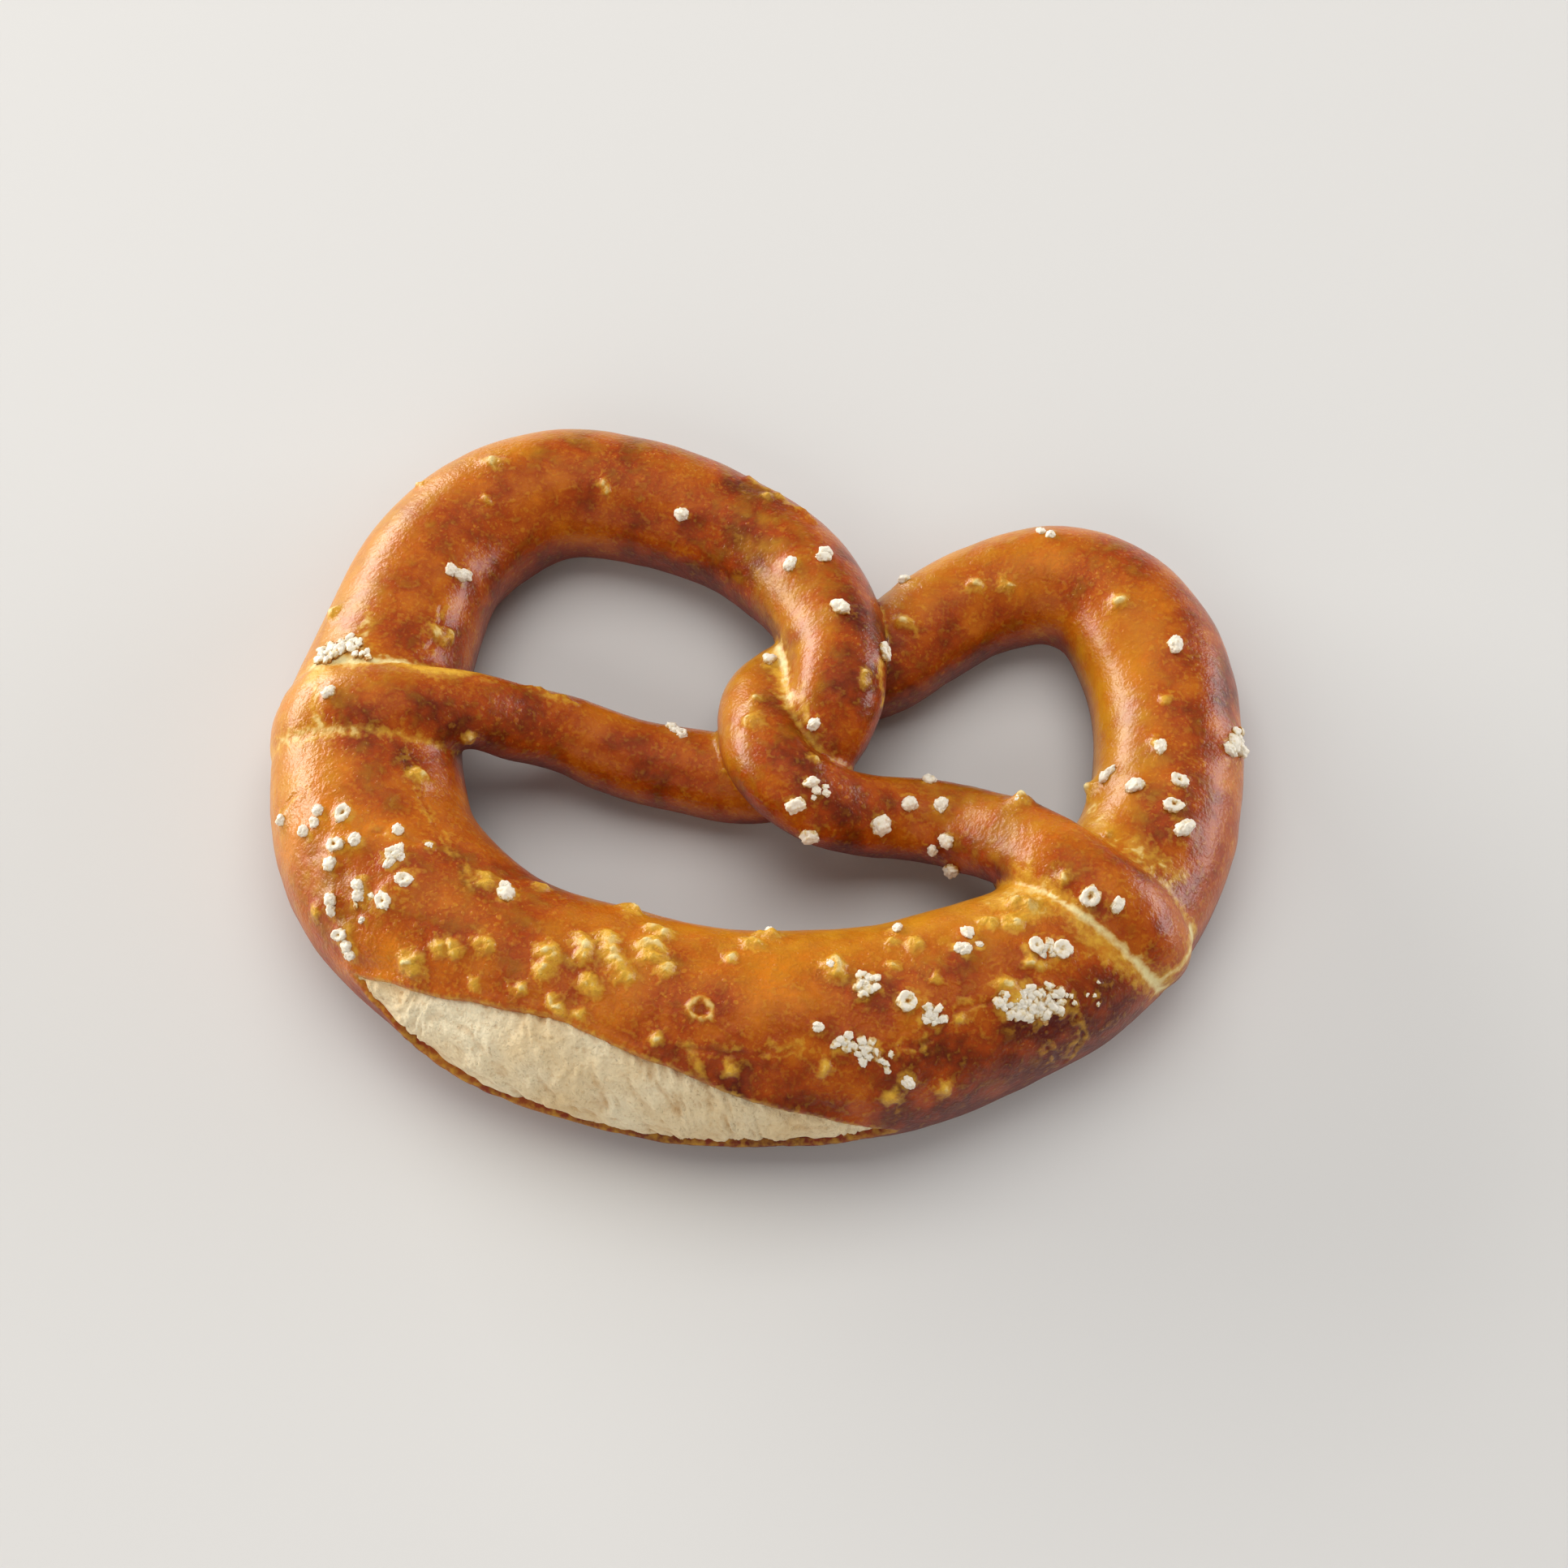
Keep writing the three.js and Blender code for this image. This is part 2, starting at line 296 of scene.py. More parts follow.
def remeshed(mesh, square):
    """The mesh as one skin of even squares."""
    piece = in_scene("fusing", mesh)
    fuse = piece.modifiers.new("fuse", "REMESH")
    fuse.mode = "VOXEL"
    fuse.voxel_size = square
    evaluated = piece.evaluated_get(bpy.context.evaluated_depsgraph_get())
    skin = bpy.data.meshes.new_from_object(evaluated)
    bpy.data.objects.remove(piece)
    return skin


skin_mesh = remeshed(tube, SKIN_SQUARE)
bpy.data.meshes.remove(tube)
print(f"the skin has {len(skin_mesh.polygons)} squares")

# %% Where a point lies on the rope
SAMPLES_PER_STOP = 12
SAMPLE_STOPS = np.linspace(0, LAST_STOP, LAST_STOP * SAMPLES_PER_STOP + 1)
SAMPLES = section_at(SAMPLE_STOPS)
OTHER_STRAND = 4.0
NEARBY = 0.1
BATCH = 8000


def nearest_stop(points, apart_from=None):
    """The stop whose skin is nearest to each point, or the nearest on another strand."""
    middle, outward, upward, forward, half, _ = SAMPLES
    axes = [(outward, 1.0), (upward, 1 / FLATNESS), (forward, 1.0)]
    found = np.empty(len(points))
    for first in range(0, len(points), BATCH):
        batch = slice(first, first + BATCH)
        squared = 0.0
        for axis, stretch in axes:
            squared = squared + (stretch * (points[batch] @ axis.T - (middle * axis).sum(1))) ** 2
        height = np.sqrt(squared) - half
        if apart_from is not None:
            height[np.abs(SAMPLE_STOPS - apart_from[batch, None]) < OTHER_STRAND] = np.inf
        found[batch] = SAMPLE_STOPS[height.argmin(1)]
    return found


def on_strand(points, stop):
    """Stop, turn in degrees, height over the skin and way out, from the section near the given stop."""
    middle, _, _, forward, _, stop_length = section_at(stop)
    ahead = ((points - middle) * forward).sum(-1) / stop_length
    stop = np.clip(stop + np.clip(ahead, -NEARBY, NEARBY), 0, LAST_STOP)
    middle, outward, upward, forward, half, _ = section_at(stop)
    away = points - middle
    across = (away * outward).sum(-1)
    up = (away * upward).sum(-1) / FLATNESS
    ahead = (away * forward).sum(-1)
    turn = np.arctan2(up, across)
    height = np.sqrt(across**2 + up**2 + ahead**2) - half * unevenness(stop, turn)
    way_out = across[:, None] * outward + (up / FLATNESS)[:, None] * upward + ahead[:, None] * forward
    return stop, np.degrees(turn), height, unit(way_out)


print("every point can be measured along and round the rope")

# %% Settle points on the fused skin
SEAM_HOLLOW = 2.2 * MM
SETTLING_ROUNDS = 2


def settled(points):
    """Points moved onto the blend of their two nearest strands.

    The blend is the lower height less h^2 * SEAM_HOLLOW / 4, where h falls from 1 on the seam to 0 where
    the heights differ by SEAM_HOLLOW. Returns points, stop, turn, way out and distance to the seam.
    """
    stop = nearest_stop(points)
    other_stop = nearest_stop(points, apart_from=stop)
    for _ in range(SETTLING_ROUNDS):
        stop, turn, height, way_out = on_strand(points, stop)
        other_stop, _, other_height, other_way_out = on_strand(points, other_stop)
        closeness = np.clip(1 - np.abs(other_height - height) / SEAM_HOLLOW, 0, 1)
        level = np.minimum(height, other_height) - closeness**2 * SEAM_HOLLOW / 4
        share = np.where(other_height < height, 1 - closeness / 2, closeness / 2)[:, None]
        way_out = unit(way_out * (1 - share) + other_way_out * share)
        points = points - level[:, None] * way_out
    return points, stop, turn, way_out, np.abs(other_height - height)


def on_skin(marks):
    """Points on the fused skin at rows that start with a stop and degrees round the rope."""
    marks = np.array(marks, float)
    return settled(rope_point(marks[:, 0], marks[:, 1]))[0]


print("points can be settled on the skin")

# %% [markdown]
# ## Salt and baked-over pips
#
# Coarse salt falls in patches. Some grains stay white and whole, some dissolve
# from the middle and leave a cup, some crumble, and some sink under the crust
# and bake into golden pips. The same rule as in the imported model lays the
# grains of a patch on a spiral. The pips come before the skin's relief, because
# they lift it.

# %% Where the salt fell
# Stop, degrees round the rope and grain size in millimetres. A patch also has
# the number of its grains and their spread in millimetres.
WHOLE_GRAINS = [
    (2.3, 94, 2.3), (7.5, 122, 2.3, 2, 1.8), (13.2, 83, 3.0), (14.35, 107, 3.2),
    (14.3, 71, 2.8, 2, 1.8), (16.4, 120, 3.0), (20.42, 127, 2.8, 3, 2.2),
    (23.64, 32, 2.2), (23.9, 58, 2.5, 3, 3.2), (24.32, 76, 2.5), (24.36, 57, 2.5),
    (24.48, 98, 2.2), (24.88, 106, 1.6), (24.78, 89, 2.6, 3, 2.0), (24.82, 60, 2.5, 2, 2.2),
    (24.7, 42, 2.5, 2, 2.0), (25.02, 52, 1.4), (25.1, 31, 2.6, 2, 1.8),
    (26.0, 115, 3.0, 2, 1.8), (29.4, 138, 2.5), (30.1, 107, 2.3), (29.88, 72, 2.0),
    (31.0, 130, 2.2), (31.84, 108, 2.9), (31.7, 98, 2.3, 2, 1.4), (31.9, 99, 1.3),
    (30.66, 36, 2.6), (45.6, 72, 2.4), (11.4, 94, 2.6), (48.6, 49, 3.2), (48.6, 84, 2.3),
    (48.75, 77, 1.9), (48.92, 79, 1.6), (49.02, 14, 3.4), (50.1, 50, 3.7), (50.78, 82, 3.3),
    (51.8, 86, 3.2), (52.2, 41, 2.9), (51.8, 25, 2.4), (52.22, -4, 3.0), (51.3, 128, 2.6),
    (53.0, 126, 2.8), (55.27, 74, 2.6), (41.8, 38, 2.6), (40.1, 60, 2.0, 2, 2.4),
    (37.58, 84, 3.4), (36.1, 101, 2.4), (35.42, 114, 3.2), (35.76, 138, 2.5, 2, 2.0),
    (35.06, 72, 4.0), (36.4, 42, 3.0, 3, 3.0),
]
CUPPED_GRAINS = [
    (7.6, 116, 2.5), (12.66, 27, 3.2), (23.98, 76, 3.0), (24.24, 65, 2.8), (25.06, 83, 3.4),
    (25.08, 68, 3.1), (24.92, 36, 3.0), (30.8, 79, 3.4), (32.8, 76, 3.2), (32.55, 85, 3.0),
    (35.64, 85, 3.0), (35.28, 84, 3.1), (54.94, 63, 3.3), (24.74, 88, 2.8),
]
CRUMBLED_GRAINS = [
    (21.98, 60, 2.3, 9, 2.5), (21.9, 73, 2.2, 8, 2.1), (22.02, 84, 1.5, 4, 1.7),
    (30.42, 93, 2.0, 9, 2.0), (31.05, 68, 1.8, 7, 1.8), (30.12, 63, 1.8, 6, 1.6),
    (30.32, 57, 1.8, 8, 1.9), (30.48, 49, 1.4, 4, 1.8), (31.96, 61, 2.0, 10, 2.2),
    (32.16, 57, 2.2, 13, 2.5), (32.4, 53, 2.1, 12, 2.5), (32.26, 49, 1.6, 5, 2.0),
    (32.66, 50, 1.0, 3, 1.6), (32.9, 43, 0.8, 4, 2.4), (32.68, 80, 1.5, 6, 1.7),
    (48.75, 77, 1.3, 4, 1.8), (36.55, 30, 2.1, 7, 2.4), (24.86, 60, 1.3, 4, 2.0),
]
BAKED_PIPS = [
    (3.9, 19, 2.4), (12.14, 55, 2.8), (46.7, 83, 2.2), (47.2, 78, 2.9), (48.42, 118, 2.2),
    (42.4, 90, 3.0), (41.18, 99, 2.7), (40.8, 110, 2.4, 2, 1.6), (38.52, 106, 3.0),
    (36.84, 98, 1.9), (36.2, 106, 2.2), (35.6, 158, 4.2), (53.0, 126, 3.4), (54.45, 56, 2.3),
    (21.38, 134, 2.6, 3, 2.2), (18.76, 73, 2.6, 2, 2.6), (19.43, 40, 1.8), (21.35, 45, 2.8),
    (15.6, 58, 2.2), (17.5, 111, 1.8, 2, 1.6), (19.14, 105, 2.0), (23.64, 124, 3.6),
    (24.56, 30, 2.4), (25.68, 50, 3.4, 2, 1.6), (25.8, 68, 2.8), (25.98, 71, 2.6, 2, 1.8),
    (26.24, 80, 2.4, 2, 1.8), (25.74, 113, 2.8, 2, 1.6), (26.22, 138, 2.7), (26.3, 62, 2.0),
    (26.9, 90, 3.0, 3, 2.4), (27.26, 102, 3.2, 3, 2.0), (27.51, 109, 3.4, 3, 2.2),
    (27.7, 96, 3.0, 2, 1.6), (27.8, 92, 3.0, 2, 1.8), (28.03, 111, 3.6, 3, 2.2),
    (28.07, 122, 3.4, 2, 1.8), (28.2, 99, 2.6), (27.5, 81, 3.0, 2, 1.8), (26.75, 68, 2.2),
    (27.2, 67, 2.4, 2, 2.0), (27.45, 66, 2.2), (27.58, 142, 3.2, 2, 2.2), (28.28, 62, 2.0),
    (28.94, 112, 2.4), (29.2, 124, 2.9, 2, 1.6), (29.41, 135, 3.4), (29.03, 52, 2.4),
    (30.14, 107, 3.8), (30.86, 121, 2.4), (31.1, 113, 2.4), (30.76, 102, 2.0), (31.22, 88, 1.9),
    (32.2, 109, 2.3, 2, 1.4), (32.5, 104, 2.4, 2, 1.6), (32.0, 70, 2.4, 3, 2.0),
    (32.5, 75, 2.2, 2, 2.4), (32.85, 115, 3.6, 2, 2.4), (29.92, 51, 2.4), (30.52, 27, 2.6),
    (31.0, 25, 1.9), (31.3, 62, 1.9), (34.6, 118, 2.0),
]
GOLDEN_ANGLE = math.pi * (3 - math.sqrt(5))


def spiral(patches):
    """Marks and sizes of the grains: grain i of n lies spread * sqrt(i / n) out, a golden angle on."""
    marks, sizes = [], []
    for stop, degrees, size, *patch in patches:
        grains, spread = patch or (1, 0)
        order = np.arange(grains)
        away = spread * MM * np.sqrt(order / grains)
        half, stop_length = section_at(stop)[4:]
        along = stop + away * np.cos(order * GOLDEN_ANGLE) / stop_length
        around = degrees + np.degrees(away * np.sin(order * GOLDEN_ANGLE) / half)
        marks.append(np.stack([along, around], axis=-1))
        sizes.append(np.full(grains, size * MM))
    return np.concatenate(marks), np.concatenate(sizes)


pip_marks, pip_sizes = spiral(BAKED_PIPS)
grain_marks, grain_sizes = spiral(WHOLE_GRAINS + CUPPED_GRAINS + CRUMBLED_GRAINS)
pip_places, grain_places = on_skin(pip_marks), on_skin(grain_marks)
print(f"{len(pip_sizes)} baked-over pips and {len(grain_sizes)} grains of salt")

# %% [markdown]
# ## Marks drawn on the skin
#
# Cracks, stretch marks and seams run along lines on the crust. A painted mask
# would need an image, so each mark is a short list of stops and degrees round
# the rope, and its strength at a point is worked out from its distance.

# %% Cracks and stretch marks
# Each corner of a path is a stop and degrees round the rope. The landings are
# where the arms were pressed on: left from above and in front, then right.
LANDINGS = [
    [(1.9, 118), (22.04, 52), (22.0, 70), (2.56, 135), (2.95, 138), (3.56, 132), (4.08, 140)],
    [(1.3, 63), (1.74, 63), (22.98, 70), (23.04, 88)],
    [(35.1, 153), (34.66, 127), (34.54, 101), (34.54, 77), (34.5, 62)],
    [(53.9, 14), (54.52, 33), (33.23, 82), (33.31, 59), (33.52, 33), (57.49, 31), (57.4, 70), (34.27, 20)],
]
LEFT_SHOULDER_FOLD = [(23.5, 52), (23.51, 38), (23.6, 28)]
# Three on the left shoulder and loop, two on the belly, and the two folds.
CRACKS = [
    [(23.22, 115), (23.52, 119), (23.9, 120), (24.42, 121), (24.94, 116), (25.3, 112), (25.58, 106)],
    [(24.36, 88), (24.48, 98), (24.7, 102), (24.88, 106)],
    [(20.99, 125), (21.33, 127), (21.66, 127)],
    [(28.6, 60), (28.86, 59), (29.18, 60), (29.5, 60), (29.68, 62)],
    [(30.62, 56), (30.8, 54), (30.98, 57), (31.14, 62), (31.3, 67), (31.52, 67), (31.84, 66), (31.98, 70)],
    [(32.24, 24), (32.44, 0), (32.64, 18), (32.64, 38)],
    LEFT_SHOULDER_FOLD,
]
TWIST_STRETCH = [(45.3, 66), (45.55, 92), (45.83, 111), (11.89, 158), (11.68, 138)]
TWIST_SEAM = [(11.68, 138), (11.46, 108), (11.3, 92), (11.08, 77)]
TWIST_SIDE = [(12.45, 29), (12.18, 22), (11.98, 10)]
RIGHT_TIP = [(57.19, 32), (57.4, 58), (57.45, 84), (57.35, 108)]
LEFT_ARM_STRETCH = [(1.95, 112), (1.98, 92), (2.0, 76), (2.02, 62)]
RIGHT_CROTCH = [(32.62, 128), (33.04, 130), (33.14, 112), (32.82, 109)]
LEFT_LOOP_STRETCH = [(21.36, 77), (21.64, 80), (21.93, 82)]
LOOP_RIDGE = [(15.98, 44), (15.78, 48), (15.63, 46), (15.43, 48), (15.25, 47), (15.04, 48)]
ARM_RIDGE = [(5.02, 132), (5.41, 118), (5.59, 118), (5.93, 112)]
LIP_DRIP = [(28.56, 62), (28.66, 59), (28.7, 52), (28.72, 46)]
BELLY_CUP = (28.68, 80)
CUP_RADIUS = 1.7 * MM


def away_from(points, path):
    """Each point's distance to a path drawn on the skin."""
    corners = on_skin(path)
    nearest = np.full(len(points), np.inf)
    for start, end in zip(corners[:-1], corners[1:]):
        span = end - start
        share = np.clip((points - start) @ span / (span @ span), 0, 1)
        nearest = np.minimum(nearest, np.linalg.norm(points - start - share[:, None] * span, axis=1))
    return nearest


def stroke(points, path, width):
    """1 on a path drawn on the skin, falling to 0 at width away from it."""
    return smooth_step(1 - away_from(points, path) / width)


def dabs(points, places, widths, heights, steepness=3):
    """The highest of many round bells: height * exp(-(distance / width)^steepness)."""
    highest = np.zeros(len(points))
    for place, width, height in zip(places, widths, heights):
        away = np.sqrt(((points - place) ** 2).sum(1)) / width
        highest = np.maximum(highest, height * np.exp(-(away**steepness)))
    return highest


print(f"{len(CRACKS)} cracks and {len(LANDINGS)} landing seams")

# %% The burst's outline
# The widest stop, reach to either side in stops, and the middle and half
# opening in degrees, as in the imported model.
BURST_WIDEST, BURST_LEFT, BURST_RIGHT = 27.3, 2.1, 3.2
BURST_MIDDLE, BURST_OPENING = 20.0, 40.0
LIP_WANDER = 0.5 * MM


def burst_span(stop):
    """Middle and half opening at a stop, in degrees. The opening is 1 - reach^2 of the widest."""
    reach = (stop - BURST_WIDEST) / np.where(stop < BURST_WIDEST, BURST_LEFT, BURST_RIGHT)
    return BURST_MIDDLE * (1 - np.clip(reach, 0, 1)), BURST_OPENING * (1 - np.clip(reach**2, 0, 1))


def inside_burst(points, stop, degrees):
    """How far a point of the skin is inside the burst's lips, and below 0 outside them."""
    middle, opening = burst_span(stop)
    half, stop_length = section_at(stop)[4:]
    inside = np.radians(opening - np.abs(degrees - middle)) * half
    past_end = np.maximum(BURST_WIDEST - BURST_LEFT - stop, stop - BURST_WIDEST - BURST_RIGHT) * stop_length
    wander = LIP_WANDER * soft_noise(points, 5 * MM, seed=31)
    return np.where(past_end > 0, -np.hypot(past_end, inside), inside) + wander


print("the burst opens", 2 * BURST_OPENING, "degrees at its widest")

# %% Smaller squares where there is detail
DETAIL_REACH = 2.2 * MM
LIP_DETAIL = 1.5 * MM
# First and last stop, and lowest and highest degrees.
DETAILED_BELLY = (23.4, 33.0, 15, 140)


def near_any(points, places, reaches):
    """Points within reach of any of the places."""
    near = np.zeros(len(points), bool)
    for place, reach in zip(places, reaches):
        near |= ((points - place) ** 2).sum(1) < reach**2
    return near


def wants_detail(points, stop, turn):
    """Points on the belly's upper side and near pips, salt, cracks, seams and lips."""
    first, last, low, high = DETAILED_BELLY
    wanted = (stop > first) & (stop < last) & (turn > low) & (turn < high)
    places = np.concatenate([pip_places, grain_places])
    wanted |= near_any(points, places, np.full(len(places), DETAIL_REACH))
    for path in CRACKS + LANDINGS + [TWIST_STRETCH]:
        wanted |= away_from(points, path) < DETAIL_REACH
    return wanted | (np.abs(inside_burst(points, stop, turn)) < LIP_DETAIL)


def refine(mesh, wanted):
    """Splits each edge in two, and each square in four, where both its points are wanted."""
    shape = bmesh.new()
    shape.from_mesh(mesh)
    edges = [e for e in shape.edges if wanted[e.verts[0].index] and wanted[e.verts[1].index]]
    bmesh.ops.subdivide_edges(shape, edges=edges, cuts=1, use_grid_fill=True)
    shape.to_mesh(mesh)
    shape.free()


coarse_points, coarse_stop, coarse_turn, _, _ = settled(points_of(skin_mesh))
refine(skin_mesh, wants_detail(coarse_points, coarse_stop, coarse_turn).tolist())
pips_and_cup = np.concatenate([pip_places, on_skin([BELLY_CUP])])
pip_reaches = np.append(0.75 * pip_sizes + 0.3 * MM, 1.8 * CUP_RADIUS)
refine(skin_mesh, near_any(points_of(skin_mesh), pips_and_cup, pip_reaches).tolist())
skin_points, skin_stop, skin_turn, skin_out, skin_seam = settled(points_of(skin_mesh))
skin_burst = inside_burst(skin_points, skin_stop, skin_turn)
skin_mesh.calc_loop_triangles()
print(f"the skin has {len(skin_mesh.loop_triangles)} triangles")

# %% [markdown]
# ## The skin's relief
#
# All the relief of the crust is one height for each point: slow lumps from
# rolling, small blisters from the oven, pips over sunken salt, creases along
# the seams, the stretched seam of the twist, cracks, and the drop at the
# burst's lips. Each one is a formula, and the heights are simply added before
# the points move along their way out.

# %% Add up the heights
# Shares of a pip's or a grain's size.
PIP_REACH = 0.5
PIP_RISE = 0.4
BED_REACH = 0.75
BED_RISE = 0.16
# Lengths.
RAGGEDNESS = 0.7 * MM
CRUMBLING = 0.18 * MM
RIDGE_WIDTH = 1.5 * MM
CRACK_WIDTH = 0.9 * MM
CRACK_GLOW = 2.4 * MM
CRACK_DEPTH = 0.3 * MM
CREASE_WIDTH = 0.8 * MM
CREASE_DEPTH = 0.35 * MM
SEAM_GLOW = 2.2 * MM
STRETCH_WIDTH = 4.5 * MM
STRETCH_RISE = 1.0 * MM
LIP_SETBACK = 1.0 * MM
LIP_CURL = 0.4 * MM
LIP_WIDTH = 1.5 * MM
CRUST_DROP = 3.0 * MM
CUP_RISE = 0.45 * MM
CUP_DEPTH = 0.4 * MM


def skin_noise(size_mm, seed):
    """Soft noise over the skin."""
    return soft_noise(skin_points, size_mm * MM, seed)


ragged = frayed(skin_points, RAGGEDNESS, seed=41)
crumbly = frayed(ragged, CRUMBLING, seed=45)
crack_away = np.min([away_from(ragged, path) for path in CRACKS], axis=0)
skin_crack = smooth_step(1 - crack_away / CRACK_WIDTH)
crack_glow = smooth_step(1 - crack_away / CRACK_GLOW) * (1 - skin_crack)
ridge = np.maximum(stroke(ragged, LOOP_RIDGE, RIDGE_WIDTH), stroke(ragged, ARM_RIDGE, RIDGE_WIDTH))
pip_height = dabs(crumbly, pip_places, PIP_REACH * pip_sizes, PIP_RISE * pip_sizes, 2)
skin_pip = dabs(crumbly, pip_places, 0.62 * pip_sizes, np.ones(len(pip_sizes)), 2)
bed_height = dabs(ragged, grain_places, BED_REACH * grain_sizes, BED_RISE * grain_sizes)
skin_halo = dabs(ragged, grain_places, BED_REACH * grain_sizes, np.ones(len(grain_sizes)))

# 1 on the upper side of the belly, between these stops and degrees.
belly_top = smooth_step((skin_stop - 23) / 1.2) * smooth_step((33.4 - skin_stop) / 1.0)
belly_top *= smooth_step((skin_turn + 10) / 40) * smooth_step((160 - skin_turn) / 30)
chunks = 0.8 * skin_noise(1.4, 52) + 0.25 * skin_noise(0.7, 54)
lumps = 0.3 * skin_noise(15, 71) + 0.14 * skin_noise(6, 72)
knots = belly_top * 0.2 * skin_noise(3.8, 73)
peel = (0.7 + 0.3 * belly_top) * (0.06 * skin_noise(2.2, 53))
blisters = (0.02 + 0.1 * belly_top) * domes(skin_points, 2.6 * MM, 1.1 * MM, seed=61)
blisters *= smooth_step(0.5 + 1.4 * skin_noise(12, 65))
seam_glow = bell(skin_seam, SEAM_GLOW)
stretched = stroke(ragged, TWIST_STRETCH, STRETCH_WIDTH) * seam_glow
crease = bell(skin_seam, CREASE_WIDTH) * (1 - stretched)
lip = bell(skin_burst + LIP_SETBACK, 0.9 * MM)
drop = smooth_step((skin_burst + 0.2 * MM) / LIP_WIDTH)
cup_away = np.linalg.norm(ragged - on_skin([BELLY_CUP])[0], axis=1) / CUP_RADIUS
cup_rim, cup_pit = bell(cup_away - 1, 0.36), bell(cup_away, 0.7)

relief = MM * (lumps + knots + peel + blisters)
relief += pip_height * (1 + 0.5 * chunks) + bed_height + MM * (0.15 * crack_glow + 0.6 * ridge * (1 + chunks))
relief += LIP_CURL * lip + CUP_RISE * cup_rim * (1 + 0.9 * chunks) - CUP_DEPTH * cup_pit
relief += STRETCH_RISE * stretched - CREASE_DEPTH * crease - CRACK_DEPTH * skin_crack - CRUST_DROP * drop
print(f"relief from {1000 * relief.min():.2f} to {1000 * relief.max():.2f} mm")

# %% Rest it on the tray
FOOT_ROUND = 1.0 * MM


def on_tray(points):
    """Heights below the tray become 0, with a round edge where the skin meets it."""
    height = points[..., 2]
    eased = (height + FOOT_ROUND) ** 2 / (4 * FOOT_ROUND)
    flat = np.where(height > FOOT_ROUND, height, np.where(height < -FOOT_ROUND, 0, eased))
    return np.concatenate([points[..., :2], flat[..., None]], axis=-1)


baked_points = on_tray(skin_points + relief[:, None] * skin_out)
skin_mesh.vertices.foreach_set("co", baked_points.astype(np.float32).ravel())
skin_mesh.update()
print(f"the crust is {1000 * baked_points[:, 2].max():.1f} mm tall")

# %% [markdown]
# ## Colour masks
#
# The crust's colour depends on where it is: darker where it baked most, golden
# where it stretched late and baked least. Part of it is painted light and shade:
# the crust is painted darker in cracks, in the cup's pit, underneath and on the
# side away from the left window, and amber on the side towards it. The material
# could find such places only by their height or slope. So these strengths are
# worked out here and stored in the mesh as attributes, one number for each point.

# %% Bake and shade, gold and pale strengths
# The way to the left window. Facing it, the crust is painted amber as painted light; facing away, it gets
# painted shade.
LEFT_WINDOW_WAY = unit(np.array([-0.9, 0.36, 0.24]))
# How much each stop baked, from 0 for orange to 1 for dark brown.
BAKED = [
    (0, 0.4), (4, 0.5), (8, 0.55), (12, 0.75), (15, 0.5), (18, 0.42), (22, 0.35), (25, 0.32), (28, 0.3),
    (31, 0.35), (34, 0.45), (38, 0.42), (42, 0.5), (46, 0.6), (49, 0.75), (52, 0.65), (55, 0.55), (58, 0.6),
]


def strongest(*masks):
    """The greatest of several strengths at each point, between 0 and 1."""
    return np.clip(np.max(masks, axis=0), 0, 1)


def broken(mask, size_mm, seed):
    """A strength made patchy by noise."""
    return mask * smooth_step(0.75 + 0.9 * skin_noise(size_mm, seed))


def store(mesh, name, values):
    """Keeps one number for each point in the mesh."""
    attribute = mesh.attributes.new(name, "FLOAT", "POINT")
    attribute.data.foreach_set("value", values.ravel().astype(np.float32))


wide = frayed(skin_points, 1.0 * MM, seed=81)
seam_line, landing_line = bell(skin_seam, 0.75 * MM), bell(skin_seam, 1.2 * MM)
crackle = bell(soft_noise(wide, 2.6 * MM, seed=86), 0.13)
left_top, left_front, right_top, right_front = (stroke(wide, path, 5 * MM) for path in LANDINGS)
# A stroke marks both strands that meet under it, and the stop tells them apart.
belly_side = right_front * (skin_stop < 34)
late = np.where(skin_stop > 50, smooth_step((skin_stop - 54.3) / 0.8), smooth_step((skin_stop - 32.9) / 0.3))
twist = stroke(wide, TWIST_STRETCH, 5 * MM) * np.where(skin_stop > 40, 1, seam_glow)
crotch = stroke(wide, RIGHT_CROTCH, 6 * MM)
# Pips, salt beds, seams, landings, stretch marks, cracks, foot, lips and ridges.
gold = strongest(
    (0.75 + 0.3 * belly_top) * skin_pip * (1 + 0.4 * chunks),
    broken((0.35 + 0.3 * belly_top) * skin_halo, 2, 90),
    0.5 * seam_line,
    0.9 * broken(left_top, 5, 82),
    0.95 * left_top * landing_line,
    0.6 * left_front * landing_line,
    0.55 * broken(right_top, 4, 87),
    0.9 * right_top * crackle,
    0.8 * right_front * seam_glow,
    0.65 * belly_side,
    0.95 * twist,
    0.5 * stroke(wide, TWIST_SEAM, 3 * MM),
    0.8 * stroke(wide, TWIST_SIDE, 1.6 * MM),
    0.85 * stroke(wide, RIGHT_TIP, 2.4 * MM),
    0.7 * stroke(ragged, LEFT_ARM_STRETCH, 1.4 * MM),
    0.5 * stroke(ragged, LEFT_LOOP_STRETCH, 1.4 * MM),
    0.5 * stroke(ragged, LIP_DRIP, 1.8 * MM),
    0.8 * crotch,
    0.6 * broken(crack_glow, 2, 88),
    0.5 * crackle * stroke(wide, LEFT_SHOULDER_FOLD, 6 * MM),
    0.3 * (1 - smooth_step(baked_points[:, 2] / (5 * MM))),
    0.4 * bell(skin_burst + 0.3 * MM, 0.7 * MM),
    0.7 * cup_rim,
    0.6 * ridge,
)
